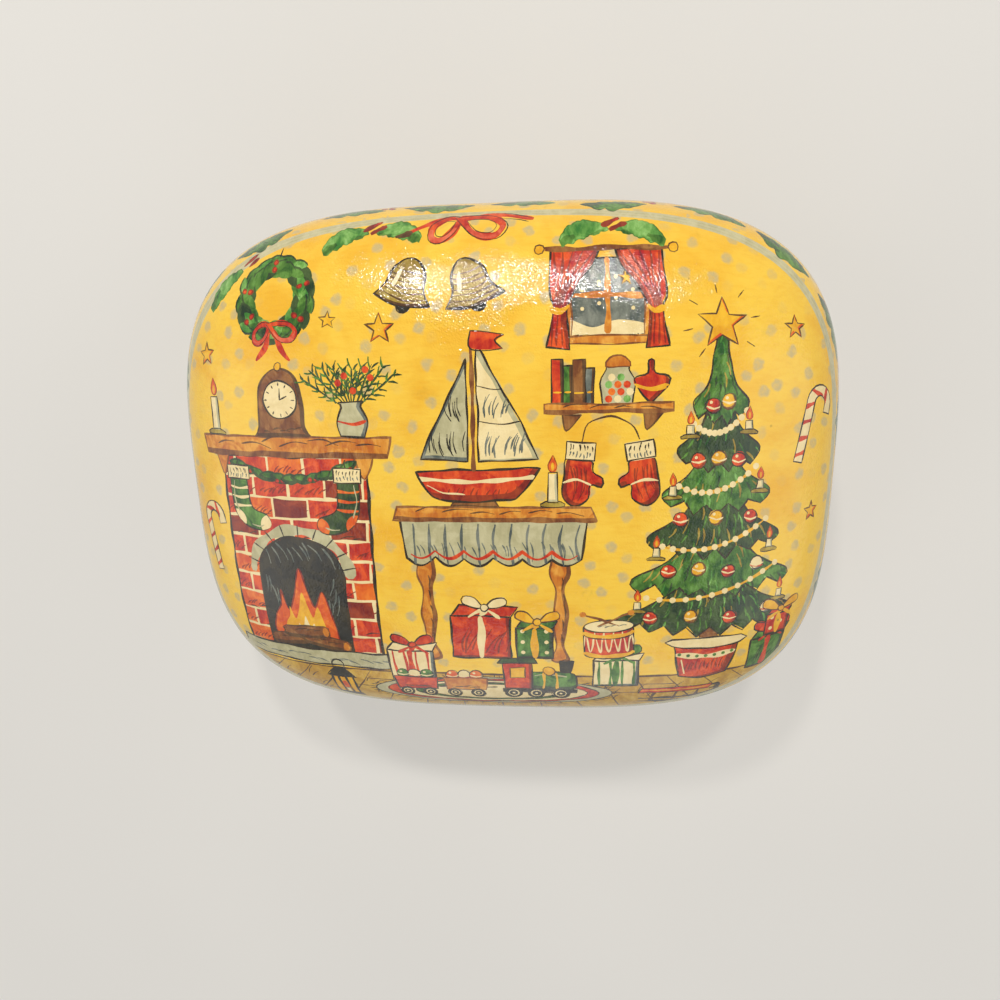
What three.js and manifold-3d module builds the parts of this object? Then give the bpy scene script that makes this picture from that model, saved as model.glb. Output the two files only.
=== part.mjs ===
// A lift-off papier mache trinket box: a moulded base tray, a locating collar
// glued inside its mouth, and a domed lid that drops over the collar.
//
// Millimetres, +Z up. The origin is the middle of the flat face that the box
// stands on, +X runs along the length and +Y towards the back.

import * as THREE from "three";
import { mergeVertices } from "three/addons/utils/BufferGeometryUtils.js";
import Module from "manifold-3d";

// Outline, seen from above: a superellipse. Power 2 is an ellipse, and a higher
// power has squarer corners.
const LENGTH = 150;
const WIDTH = 119.5;
const OUTLINE_POWER = 3.4;

// The tray and the lid are one hollow moulding, sawn apart, so they share a wall.
const WALL = 3.5;

// Base tray
const BASE_HEIGHT = 34; // table to mouth
const BASE_FLOOR = 4;
const BASE_CORNER = 15; // rounding between the side and the flat bottom

// Domed lid
const LID_HEIGHT = 30.5; // mouth to crown
const DOME_POWER = 2.87; // of the superellipse that is the dome's section

// Locating collar, a strip bent round inside the tray's mouth
const COLLAR_THICKNESS = 1.8;
const COLLAR_DEPTH = 10; // glued inside the tray
const COLLAR_RISE = 5; // stands up inside the lid
const COLLAR_BUTT_GAP = 0.6; // where the strip's two ends meet, at the back
const COLLAR_EDGE = 0.5; // chamfer on its top edges

// Clearances
const SEAM_GAP = 0.3; // lid resting on the tray's rim
const GLUE_LINE = 0.3; // collar to the tray's wall
const LID_FIT = 0.35; // collar to the lid's wall

const MOUTH_EDGE = 0.5; // softened outer edge of both mouths

// Facets
const AROUND = 96;
const DOME_STEPS = 13;
const CORNER_STEPS = 6;
const WELD = 1e-4;

const GROUND_YELLOW = 0xf2cf5e;
const COLLAR_BLACK = 0x17130f;
const LACQUER_ROUGHNESS = 0.25;
const COLLAR_ROUGHNESS = 0.4;

// One ring of a shell's profile: half its length, half its width, and its height.
const ring = (halfLength, halfWidth, height) => ({ halfLength, halfWidth, height });

// The outline drawn in by one distance all round.
const inset = (distance, height) =>
  ring(LENGTH / 2 - distance, WIDTH / 2 - distance, height);

// A ring shrunk to a point on the box's axis.
const pole = (height) => ring(0, 0, height);

// How far the outline reaches at an angle, where 1 is the half length or half width.
function outlineReach(angle) {
  const along = Math.abs(Math.cos(angle)) ** OUTLINE_POWER;
  const across = Math.abs(Math.sin(angle)) ** OUTLINE_POWER;
  return (along + across) ** (-1 / OUTLINE_POWER);
}

// Shared corners merged, which leaves the surface closed.
function welded(geometry) {
  const bare = geometry.clone();
  bare.deleteAttribute("normal");
  bare.deleteAttribute("uv");
  const merged = mergeVertices(bare, WELD);
  merged.computeVertexNormals();
  return merged;
}

// A turned shell whose round rings are then drawn out to the outline. The profile
// runs from pole to pole, or back to its own start.
function shellGeometry(rings) {
  const profile = rings.map((r) => new THREE.Vector2(r.halfLength, r.height));
  const geometry = new THREE.LatheGeometry(profile, AROUND);
  const position = geometry.getAttribute("position");
  for (let turn = 0; turn <= AROUND; turn++) {
    const angle = ((turn % AROUND) / AROUND) * 2 * Math.PI;
    const reach = outlineReach(angle);
    const x = reach * Math.cos(angle);
    const y = reach * Math.sin(angle);
    rings.forEach((r, i) => {
      const index = turn * rings.length + i;
      position.setXYZ(index, r.halfLength * x, r.halfWidth * y, r.height);
    });
  }
  return welded(geometry);
}

// A rounded corner from the side wall, at wallInset, down to a floor.
function cornerRings(wallInset, floorHeight, radius) {
  return Array.from({ length: CORNER_STEPS + 1 }, (_, i) => {
    const turn = (i / CORNER_STEPS) * (Math.PI / 2);
    const distance = wallInset + radius * (1 - Math.cos(turn));
    return inset(distance, floorHeight + radius * (1 - Math.sin(turn)));
  });
}

// One ring of the dome. share runs from 0 at the mouth to 1 at the crown, and
// depth is measured into the wall, square to the outer surface.
function domeRing(share, depth) {
  const turn = (share * Math.PI) / 2;
  const c = Math.cos(turn);
  const s = Math.sin(turn);
  const reach = (c ** DOME_POWER + s ** DOME_POWER) ** (-1 / DOME_POWER);
  const out = reach * c;
  const up = reach * s;
  const leanOut = out ** (DOME_POWER - 1) / (LENGTH / 2);
  const leanUp = up ** (DOME_POWER - 1) / LID_HEIGHT;
  const lean = Math.hypot(leanOut, leanUp);
  const inward = (depth * leanOut) / lean;
  return ring(
    (LENGTH / 2) * out - inward,
    (WIDTH / 2) * out - inward,
    LID_HEIGHT * up - (depth * leanUp) / lean,
  );
}

// The dome's rings above the softened mouth, from the lowest up.
function domeRings(depth) {
  const rings = Array.from({ length: DOME_STEPS }, (_, i) =>
    domeRing(i / DOME_STEPS, depth),
  );
  return rings.filter((r) => r.height > MOUTH_EDGE);
}

// Flat underside, rounded bottom edge, upright side and level mouth.
function baseTrayRings() {
  return [
    pole(0),
    ...cornerRings(0, 0, BASE_CORNER).reverse(),
    inset(0, BASE_HEIGHT - MOUTH_EDGE),
    inset(MOUTH_EDGE, BASE_HEIGHT),
    inset(WALL, BASE_HEIGHT),
    ...cornerRings(WALL, BASE_FLOOR, BASE_CORNER - WALL),
    pole(BASE_FLOOR),
  ];
}

// Built with its mouth at height 0.
function lidRings() {
  return [
    pole(LID_HEIGHT - WALL),
    ...domeRings(WALL).reverse(),
    inset(WALL, 0),
    inset(MOUTH_EDGE, 0),
    inset(0, MOUTH_EDGE),
    ...domeRings(0),
    pole(LID_HEIGHT),
  ];
}

// Glued below the mouth, and sanded back above it to let the lid drop on.
function collarRings() {
  const glued = WALL + GLUE_LINE;
  const free = WALL + LID_FIT;
  const inner = Math.max(glued, free) + COLLAR_THICKNESS;
  const bottom = BASE_HEIGHT - COLLAR_DEPTH;
  const top = BASE_HEIGHT + COLLAR_RISE;
  return [
    inset(glued, bottom),
    inset(glued, BASE_HEIGHT),
    inset(free, BASE_HEIGHT + SEAM_GAP),
    inset(free, top - COLLAR_EDGE),
    inset(free + COLLAR_EDGE, top),
    inset(inner - COLLAR_EDGE, top),
    inset(inner, top - COLLAR_EDGE),
    inset(inner, bottom),
    inset(glued, bottom),
  ];
}

const wasm = await Module();
wasm.setup();

function toSolid(geometry) {
  return new wasm.Manifold(
    new wasm.Mesh({
      numProp: 3,
      vertProperties: new Float32Array(geometry.getAttribute("position").array),
      triVerts: new Uint32Array(geometry.index.array),
    }),
  );
}

function toGeometry(solid) {
  const mesh = solid.getMesh();
  const geometry = new THREE.BufferGeometry();
  const corners = new THREE.BufferAttribute(mesh.vertProperties, mesh.numProp);
  geometry.setAttribute("position", corners);
  geometry.setIndex(new THREE.BufferAttribute(mesh.triVerts, 1));
  geometry.computeVertexNormals();
  return geometry;
}

// The bent strip, cut through where its two ends butt together.
function collarGeometry() {
  const reach = WIDTH / 2;
  const height = 2 * (COLLAR_DEPTH + COLLAR_RISE);
  const cutter = new THREE.BoxGeometry(COLLAR_BUTT_GAP, reach, height);
  cutter.translate(0, reach, BASE_HEIGHT);
  const strip = toSolid(shellGeometry(collarRings()));
  return toGeometry(strip.subtract(toSolid(welded(cutter))));
}

function piece(name, geometry, color, roughness) {
  const material = new THREE.MeshStandardMaterial({
    color,
    roughness,
    metalness: 0,
  });
  const mesh = new THREE.Mesh(geometry, material);
  mesh.name = name;
  return mesh;
}

const baseTray = piece(
  "base_tray",
  shellGeometry(baseTrayRings()),
  GROUND_YELLOW,
  LACQUER_ROUGHNESS,
);

const baseCollar = piece(
  "base_collar",
  collarGeometry(),
  COLLAR_BLACK,
  COLLAR_ROUGHNESS,
);

const domedLid = piece(
  "domed_lid",
  shellGeometry(lidRings()),
  GROUND_YELLOW,
  LACQUER_ROUGHNESS,
);
domedLid.position.z = BASE_HEIGHT + SEAM_GAP;

const box = new THREE.Group();
box.name = "papier_mache_trinket_box";
box.add(baseTray, baseCollar, domedLid);

export default box;
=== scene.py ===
import math
import random
from contextlib import contextmanager

import bpy
import numpy as np
from mathutils import Matrix, Vector
from mathutils.geometry import delaunay_2d_cdt


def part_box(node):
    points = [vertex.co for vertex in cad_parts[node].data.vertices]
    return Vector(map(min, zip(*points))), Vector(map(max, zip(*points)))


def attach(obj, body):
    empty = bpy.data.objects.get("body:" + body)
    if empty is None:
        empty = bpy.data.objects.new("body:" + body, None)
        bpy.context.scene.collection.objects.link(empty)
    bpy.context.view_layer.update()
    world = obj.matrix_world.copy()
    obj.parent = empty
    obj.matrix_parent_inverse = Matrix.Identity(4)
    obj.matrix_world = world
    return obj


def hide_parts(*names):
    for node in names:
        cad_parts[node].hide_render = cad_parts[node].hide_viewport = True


bl_info = {
    "name": "Papier Mache Trinket Box",
    "version": (1, 0, 0),
    "blender": (4, 5, 0),
    "location": "3D View > Sidebar > Trinket Box",
    "description": "Paints and varnishes the shells of a lift-off trinket box",
    "category": "Object",
}

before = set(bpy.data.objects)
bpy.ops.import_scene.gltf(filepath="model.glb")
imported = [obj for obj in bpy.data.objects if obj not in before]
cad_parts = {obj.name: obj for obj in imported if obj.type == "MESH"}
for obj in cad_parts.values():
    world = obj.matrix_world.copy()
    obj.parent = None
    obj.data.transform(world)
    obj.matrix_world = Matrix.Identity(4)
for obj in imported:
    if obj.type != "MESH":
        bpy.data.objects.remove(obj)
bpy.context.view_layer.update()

MM = 0.001


def in_mm(node):
    """A construction node's lowest and highest corners, in millimetres."""
    low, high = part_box(node)
    return low / MM, high / MM


TRAY_HIGH = in_mm("base_tray")[1]
LID_LOW, LID_HIGH = in_mm("domed_lid")
COLLAR_LOW, COLLAR_HIGH = in_mm("base_collar")
HALF_LENGTH = TRAY_HIGH.x
HALF_WIDTH = TRAY_HIGH.y
MEAN_HALF = (HALF_LENGTH + HALF_WIDTH) / 2

# Shape values that the construction's boxes don't tell, in millimetres
OUTLINE_POWER = 3.4  # of the superellipse seen from above
DOME_POWER = 2.87  # of the lid's section
TRAY_CORNER = 15.0
WALL = 3.5
FLOOR = 4.0
MOUTH_EDGE = 0.5
INNER_EDGE = 0.4
COLLAR_THICKNESS = 1.85
COLLAR_SANDING = 0.05  # taken off the collar above the tray, for the lid's fit
COLLAR_BUTT_GAP = 0.6
COLLAR_EDGE = 0.5

# How finely things are cut, in millimetres or in counts
GRID = 1.8
BRUSH_STEP = 0.86
LEAF_STEPS = 44
AROUND = 288
RING_TURN = np.arange(AROUND) / AROUND * 2 * math.pi
OUTLINE_STEPS = 1440  # for lengths measured round the outline
DOME_STEPS = 220
ARC_STEPS = 24
EDGE_STEPS = 4
COLLAR_EDGE_STEPS = 3
LIP_STEPS = 2
INNER_DOME_STEPS = 18
INNER_DOME_FOOT = 2.0  # height above the mouth of the lid's lowest inner ring
INNER_CORNER_STEPS = 10
WELD = 1e-5
EDGE_MARGIN = 0.0165  # of a skin's reach, kept clear of paint at its mouth
GRID_MARGIN = 0.004  # of a skin's reach, between the grid and the rings at its mouth
RIM_SLACK = 1e-4  # of a skin's reach
TURN_SLACK = 1e-6  # radians
NORMAL_REACH = 0.05  # to the points beside one whose normal is worked out
WINDING_LOAD = 4_000_000  # pairs of a point and an edge that are tested in one go

# Painted lines round the box, as heights in millimetres
SHOULDER = 15.4  # above the lid's mouth
TRAY_LINE = 12.5
FOOT_LINE = 5.0

# How the painter's hand and the mould's press show, in millimetres
INK_WIDTH = 0.75
INK_PRESS = 0.84  # share of its full width that an outline is drawn with
PRESS_WAVE = 9  # from one press of the brush to the next
PRESS_MEAN, PRESS_SWING = 0.9, 0.28  # shares of a stroke's width
START_TIP, END_TIP = 0.25, 0.2  # squares of the shares of its width left at its ends
HATCH_LEAN = 12  # degrees either way
HATCH_BEND = 0.08  # of a short stroke's length
TREMOR_WAVE = 16
HAND_TREMOR = 0.15
HAND_HOLLOW = 0.22
SEAM_FADE = 8  # from the seam, over which the crown's hollows come in
FOOT_FADE = 12
BLUNT = (0.01, 0.01)  # shares of a stroke's length over which its ends thin out


def srgb(red, green, blue):
    """A colour given in 0 to 255 display values, as linear light."""

    def linear(value):
        share = value / 255
        return share / 12.92 if share <= 0.04045 else ((share + 0.055) / 1.055) ** 2.4

    return tuple(linear(v) for v in (red, green, blue))


def colour_property(name, description, *display):
    return bpy.props.FloatVectorProperty(
        name=name,
        description=description,
        subtype="COLOR",
        size=3,
        min=0.0,
        max=1.0,
        default=srgb(*display),
    )


class TrinketBoxPaints(bpy.types.PropertyGroup):
    """Colours of the paints, as they look through the varnish."""

    ground: colour_property("Ground", "Yellow ground", 251, 206, 68)
    ochre: colour_property("Ochre", "Darker clouds in the ground", 239, 176, 26)
    dab: colour_property("Dabs", "Grey dabs on the ground", 200, 180, 126)
    line: colour_property("Line", "Band round the lid's shoulder", 204, 197, 154)
    red: colour_property("Red", "Brick and cloth", 226, 30, 2)
    crimson: colour_property("Crimson", "Shading on red", 146, 18, 4)
    coral: colour_property("Coral", "Ribbon", 228, 90, 68)
    orange: colour_property("Orange", "Flames and trims", 238, 104, 16)
    wood: colour_property("Wood", "Furniture and floor", 228, 146, 46)
    straw: colour_property("Straw", "Floor boards", 214, 168, 56)
    brown: colour_property("Brown", "Darker wood", 142, 84, 40)
    umber: colour_property("Umber", "Grain and shadows", 88, 54, 26)
    leaf: colour_property("Leaf", "Leaves", 44, 128, 44)
    spring: colour_property("Spring green", "Light on leaves", 96, 176, 84)
    pine: colour_property("Pine", "Dark green", 12, 72, 34)
    olive: colour_property("Olive", "Brass and cord", 176, 150, 56)
    cream: colour_property("Cream", "Fur, sails and trims", 248, 226, 168)
    grey: colour_property("Grey", "Stone and linen", 196, 190, 148)
    slate: colour_property("Slate", "Shading on pale things", 104, 116, 112)
    gold: colour_property("Gold", "Bells and stars", 246, 184, 30)
    charcoal: colour_property("Charcoal", "Black things", 28, 29, 23)
    ink: colour_property("Ink", "Outlines", 36, 24, 12)
    lacquer: colour_property("Inside lacquer", "Inside and underside", 18, 15, 12)
    board: colour_property("Bare board", "Paper where paint has worn off", 160, 130, 90)
    floor: colour_property("Backdrop", "Floor under the box", 232, 229, 223)


class TrinketBoxFinish(bpy.types.PropertyGroup):
    """How the varnish and the hand work look."""

    varnish_roughness: bpy.props.FloatProperty(
        name="Varnish roughness", description="Gloss of the varnish", default=0.07, min=0.0, max=1.0
    )
    orange_peel: bpy.props.FloatProperty(
        name="Orange peel",
        description="Depth of the waves in the varnish",
        default=0.0001,
        min=0.0,
        unit="LENGTH",
        precision=5,
    )
    dab_spacing: bpy.props.FloatProperty(
        name="Dab spacing",
        description="Distance between grey dabs",
        default=0.0058,
        min=0.001,
        unit="LENGTH",
    )
    wear: bpy.props.FloatProperty(
        name="Edge wear", description="Worn paint at both mouths", default=0.5, min=0.0, max=1.0
    )


# How thinly each paint is brushed: a thin one pools darker and lets the ground through
THINNESS = {
    "ground": 0.0,
    "line": 0.14,
    "red": 0.6,
    "crimson": 0.3,
    "coral": 0.4,
    "orange": 0.35,
    "wood": 0.45,
    "straw": 0.3,
    "brown": 0.35,
    "umber": 0.2,
    "leaf": 0.5,
    "spring": 0.6,
    "pine": 0.3,
    "olive": 0.4,
    "cream": 0.16,
    "grey": 0.2,
    "slate": 0.35,
    "gold": 0.25,
    "charcoal": 0.12,
    "ink": 0.14,
}
PAINTS = list(THINNESS)
OUTLINE_PAINTS = {"wood": "brown", "brown": "umber", "straw": "umber", "gold": "umber"}


# Lines and outlines, as arrays of complex numbers in millimetres


def soft(*points, closed=True):
    """A smooth line through given points. A point given twice is a sharp corner."""
    p = [complex(*point) for point in points]
    count = len(p)
    line = []
    for i in range(count if closed else count - 1):
        a, b = p[i], p[(i + 1) % count]
        if a == b:
            continue
        before = p[i - 1] if closed or i else a
        after = p[(i + 2) % count] if closed or i + 2 < count else b
        leaving, arriving = (b - before) / 2, (after - a) / 2
        t = np.arange(0, 1, 1 / max(2, round(abs(b - a) / BRUSH_STEP)))
        line.append(
            (2 * t**3 - 3 * t**2 + 1) * a
            + (t**3 - 2 * t**2 + t) * leaving
            + (3 * t**2 - 2 * t**3) * b
            + (t**3 - t**2) * arriving
        )
    return np.concatenate(line if closed else [*line, [p[-1]]])


def sharp(*points, closed=True):
    """Straight stretches from point to point."""
    p = [complex(*point) for point in points]
    ends = zip(p, p[1:] + p[:1]) if closed else zip(p, p[1:])
    line = []
    for a, b in ends:
        t = np.arange(0, 1, 1 / max(1, round(abs(b - a) / BRUSH_STEP)))
        line.append(a + (b - a) * t)
    return np.concatenate(line if closed else [*line, [p[-1]]])


def arc(x, y, across, up=None, start=0, end=360):
    """Part of an ellipse, anticlockwise from start to end degrees."""
    up = across if up is None else up
    steps = max(8, round(abs(end - start) / 360 * math.pi * (across + up) / BRUSH_STEP))
    turn = np.radians(np.linspace(start, end, steps + 1))
    line = x + 1j * y + across * np.cos(turn) + 1j * up * np.sin(turn)
    return line[:-1] if end - start == 360 else line


def box(x, y, width, height):
    """A rectangle from its lower left corner."""
    return sharp((x, y), (x + width, y), (x + width, y + height), (x, y + height))


def turned(*half, line=soft):
    """An outline that is the same on both sides of its upright middle."""
    return line(*half, *[(-x, y) for x, y in reversed(half) if x])


def winding(loops, x, y):
    """True for each point that the loops go round."""
    turns = np.zeros(len(x), int)
    for loop in loops:
        x1, y1 = loop.real, loop.imag
        x2, y2 = np.roll(x1, -1), np.roll(y1, -1)
        share = max(1, WINDING_LOAD // len(loop))
        for first in range(0, len(x), share):
            px, py = x[first : first + share, None], y[first : first + share, None]
            left = (x2 - x1) * (py - y1) - (px - x1) * (y2 - y1)
            up = (y1 <= py) & (y2 > py) & (left > 0)
            down = (y1 > py) & (y2 <= py) & (left < 0)
            turns[first : first + share] += up.sum(1) - down.sum(1)
    return turns != 0


class Painting:
    """Painted shapes on a flat sheet, in the order in which they are painted."""

    def __init__(self, seed):
        self.shapes = []
        self.random = random.Random(seed)
        self.places = []
        self.limits = []
        self.wrap = None

    @contextmanager
    def at(self, x=0, y=0, size=1.0, turn=0, flip=False):
        """What is painted inside is moved, sized, turned and mirrored."""
        factor = size * complex(math.cos(math.radians(turn)), math.sin(math.radians(turn)))
        self.places.append((factor, complex(x, y), flip))
        yield
        self.places.pop()

    @contextmanager
    def within(self, outline):
        """What is painted inside stays inside this outline."""
        self.limits.append(self.put(outline))
        yield
        self.limits.pop()

    def put(self, line):
        for factor, shift, flip in reversed(self.places):
            line = (-line.conjugate() if flip else line) * factor + shift
        return self.wrap(line) if self.wrap else line

    def tremor(self, line, closed):
        """A hand's slow waver along a line."""
        along = np.r_[0, np.cumsum(np.abs(np.diff(line)))]
        length = along[-1] + abs(line[0] - line[-1]) * closed
        shift = 0
        for waves in (1, 2, 3):
            count = length / TREMOR_WAVE
            count = (max(1, round(count)) if closed else count) * waves
            phase = self.random.uniform(0, 2 * math.pi)
            tilt = self.random.uniform(0, 2 * math.pi)
            swing = np.sin(2 * math.pi * count * along / max(length, 1e-6) + phase)
            shift = shift + swing * HAND_TREMOR * complex(math.cos(tilt), math.sin(tilt)) / waves
        return line + shift

    def shape(self, loops, paint):
        self.shapes.append(([self.put(loop) for loop in loops], paint, list(self.limits)))

    def fill(self, outline, paint):
        """A flat area of paint."""
        self.shape([outline], paint)

    def stroke(self, line, paint="ink", width=INK_WIDTH, ends=(0.25, 0.1), closed=False):
        """A brush stroke along a line, thin at its ends and a little uneven."""
        if closed:
            ahead = np.roll(line, -1) - np.roll(line, 1)
        else:
            ahead = np.gradient(line)
        ahead = ahead / np.maximum(np.abs(ahead), 1e-9)
        along = np.r_[0, np.cumsum(np.abs(np.diff(line)))]
        length = max(along[-1], 1e-6)
        phase = self.random.uniform(0, 2 * math.pi)
        presses = max(1, round(length / PRESS_WAVE))
        press = np.sin(2 * math.pi * presses * along / length + phase)
        half = width / 2 * (PRESS_MEAN + PRESS_SWING * press)
        if not closed:
            share = along / length
            rise = np.clip(share / max(ends[0], 1e-3), START_TIP, 1)
            fall = np.clip((1 - share) / max(ends[1], 1e-3), END_TIP, 1)
            half = half * np.sqrt(np.minimum(rise, fall))
        edges = [line + 1j * ahead * half, (line - 1j * ahead * half)[::-1]]
        self.shape(edges if closed else [np.concatenate(edges)], paint)

    def area(self, outline, paint, width=INK_WIDTH, ink=None, shade=None, shift=(-0.7, 0.5)):
        """A filled area with an inked outline, drawn a little off it, and perhaps shade."""
        filled = self.tremor(outline, True)
        self.fill(filled, paint)
        if shade:
            self.shade(filled, shade, *shift)
        if width:
            ink = ink or OUTLINE_PAINTS.get(paint, "ink")
            self.stroke(self.tremor(outline, True), ink, width * INK_PRESS, closed=True)
        return filled

    def shade(self, outline, paint, x, y):
        """A darker edge, left when a copy of the outline is moved by x and y."""
        with self.within(outline):
            self.shape([outline, (outline + complex(x, y))[::-1]], paint)

    def dots(self, places, radius, paint):
        for x, y in places:
            self.fill(arc(x, y, radius), paint)

    def line(self, *points, paint="ink", width=INK_WIDTH, ends=(0.25, 0.1)):
        """An inked line through points."""
        path = self.tremor(soft(*points, closed=False), False)
        self.stroke(path, paint, width, ends)

    def hatch(self, start, end, lean, length, count, paint="ink", width=0.5, stray=0.25):
        """A row of short strokes from start to end, leaning at an angle in degrees."""
        a, b = complex(*start), complex(*end)
        for i in range(count):
            root = a + (b - a) * (i + 0.5) / count
            root += complex(self.random.uniform(-stray, stray), self.random.uniform(-stray, stray))
            reach = length * self.random.uniform(0.7, 1.15)
            angle = math.radians(lean + self.random.uniform(-HATCH_LEAN, HATCH_LEAN))
            tip = root + reach * complex(math.cos(angle), math.sin(angle))
            aside = 1j * (tip - root) / max(abs(tip - root), 1e-6)
            bend = (root + tip) / 2 + HATCH_BEND * reach * aside
            points = [(z.real, z.imag) for z in (root, bend, tip)]
            self.line(*points, paint=paint, width=width, ends=(0.1, 0.6))


# The shells' skins, laid flat for painting


class Skin:
    """An outer skin made of rings, from its pole to its mouth.

    Each ring is half a length, half a width and a height. Laid flat, the skin is a
    sheet whose middle has its true size and whose rings lie as far out as they are
    from the pole along the surface.
    """

    def __init__(self, rings):
        self.rings = np.array(rings)
        middle = self.rings[:, :2].mean(axis=1)
        run = np.hypot(np.diff(middle), np.diff(self.rings[:, 2]))
        self.out = np.r_[0, np.cumsum(run)] / MEAN_HALF
        self.edge = self.out[-1]
        self.domed = self.rings[0, 2] > self.rings[-1, 2]
        self.turn = np.linspace(0, 2 * math.pi, OUTLINE_STEPS + 1)
        self.along = np.r_[0, np.cumsum(np.abs(np.diff(outline_at(self.turn))))]

    def outness(self, flat):
        """0 at the pole and the same all along a ring."""
        x = np.abs(flat.real / HALF_LENGTH) ** OUTLINE_POWER
        y = np.abs(flat.imag / HALF_WIDTH) ** OUTLINE_POWER
        return (x + y) ** (1 / OUTLINE_POWER)

    def laid(self, flat):
        """The places on the box of points on the flat sheet."""
        out = self.outness(flat)
        share = flat / np.maximum(out, 1e-9)
        length, width, height = (np.interp(out, self.out, self.rings[:, k]) for k in range(3))
        x = length * share.real / HALF_LENGTH
        y = width * share.imag / HALF_WIDTH
        return hand_formed(np.stack([x, y, height], 1))

    def normals(self, flat):
        """Outward normals, from points a little to each side."""
        near = NORMAL_REACH
        across = self.laid(flat + near) - self.laid(flat - near)
        up = self.laid(flat + near * 1j) - self.laid(flat - near * 1j)
        normal = np.cross(across, up) if self.domed else np.cross(up, across)
        return normal / np.maximum(np.linalg.norm(normal, axis=1, keepdims=True), 1e-12)

    def kept_in(self, line):
        """The same line, held a little inside the mouth's edge."""
        out = self.outness(line)
        return line * np.minimum(1, (self.edge - EDGE_MARGIN) / np.maximum(out, 1e-9))

    def out_at(self, height):
        """The outness of the ring at a height on the skin's side."""
        sign = -1 if self.domed else 1
        return np.interp(sign * height, sign * self.rings[:, 2], self.out)

    def ring(self, out):
        """Points on the flat sheet round one ring."""
        return out * outline_at(RING_TURN)

    def side(self, line):
        """Flat points from millimetres round the outline, and heights as the other part."""
        turn = np.interp(line.real % self.along[-1], self.along, self.turn)
        return self.out_at(line.imag) * outline_at(turn)

    def round_side(self, flat):
        """Millimetres round the outline of points on the flat sheet."""
        turn = np.arctan2(flat.imag / HALF_WIDTH, flat.real / HALF_LENGTH) % (2 * math.pi)
        return np.interp(turn, self.turn, self.along)


def outline_unit(turn):
    """The outline's point at each turn, as shares of the half length and half width."""
    x, y = np.cos(turn), np.sin(turn)
    reach = (np.abs(x) ** OUTLINE_POWER + np.abs(y) ** OUTLINE_POWER) ** (-1 / OUTLINE_POWER)
    return reach * x, reach * y


def outline_at(turn):
    """The outline's point at each turn, as a complex number in millimetres."""
    x, y = outline_unit(turn)
    return HALF_LENGTH * x + 1j * HALF_WIDTH * y


def hand_formed(points):
    """The slight hollows of a shape pressed and sanded by hand."""
    x, y, z = points.T
    broad = np.sin(x / 19 + 0.7) * np.sin(y / 16 + 1.9)
    narrow = 0.6 * np.sin(x / 11 + y / 13 + 0.4)
    hollow = 0.5 - (broad + narrow) / 3.2
    mouth = np.clip(np.abs(z - TRAY_HIGH.z) / SEAM_FADE, 0, 1)
    ground = np.clip(z / FOOT_FADE, 0, 1)
    sides = 1 - HAND_HOLLOW / HALF_LENGTH * hollow * ground
    crown = -HAND_HOLLOW * hollow * mouth * ground
    return np.stack([x * sides, y * sides, z + crown], 1)


def inset(distance, height):
    """A ring of the outline's shape, distance inside it."""
    return (HALF_LENGTH - distance, HALF_WIDTH - distance, height)


def rounded(distance, height, radius, start, end, steps=EDGE_STEPS):
    """Rings round an edge, whose centre is distance inside the outline."""
    turns = np.radians(np.linspace(start, end, steps + 1))
    return [inset(distance - radius * math.cos(t), height + radius * math.sin(t)) for t in turns]


def dome_ring(share, depth):
    """One ring of the lid, depth inside its outer surface. share is 1 at the crown."""
    turn = share * math.pi / 2
    c, s = math.cos(turn), math.sin(turn)
    rise = LID_HIGH.z - LID_LOW.z
    reach = (c**DOME_POWER + s**DOME_POWER) ** (-1 / DOME_POWER)
    out, up = reach * c, reach * s
    lean_out = out ** (DOME_POWER - 1) / HALF_LENGTH
    lean_up = up ** (DOME_POWER - 1) / rise
    lean = math.hypot(lean_out, lean_up)
    inward = depth * lean_out / lean
    height = LID_LOW.z + rise * up - depth * lean_up / lean
    return (HALF_LENGTH * out - inward, HALF_WIDTH * out - inward, height)


def dome_rings(depth, steps, lowest):
    """The lid's rings from the crown down to a height above its mouth."""
    rings = [dome_ring(1 - i / steps, depth) for i in range(1, steps)]
    crown = (0, 0, LID_HIGH.z - depth)
    return [crown] + [r for r in rings if r[2] > LID_LOW.z + lowest]


def lid_skin():
    edge = rounded(MOUTH_EDGE, LID_LOW.z + MOUTH_EDGE, MOUTH_EDGE, 0, -90)
    return Skin(dome_rings(0, DOME_STEPS, MOUTH_EDGE) + edge)


def tray_skin():
    corner = rounded(TRAY_CORNER, TRAY_CORNER, TRAY_CORNER, -90, 0, ARC_STEPS)
    edge = rounded(MOUTH_EDGE, TRAY_HIGH.z - MOUTH_EDGE, MOUTH_EDGE, 0, 90)
    return Skin([(0, 0, 0), *corner, *edge])


# Common ornaments round the lid and the tray


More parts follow.
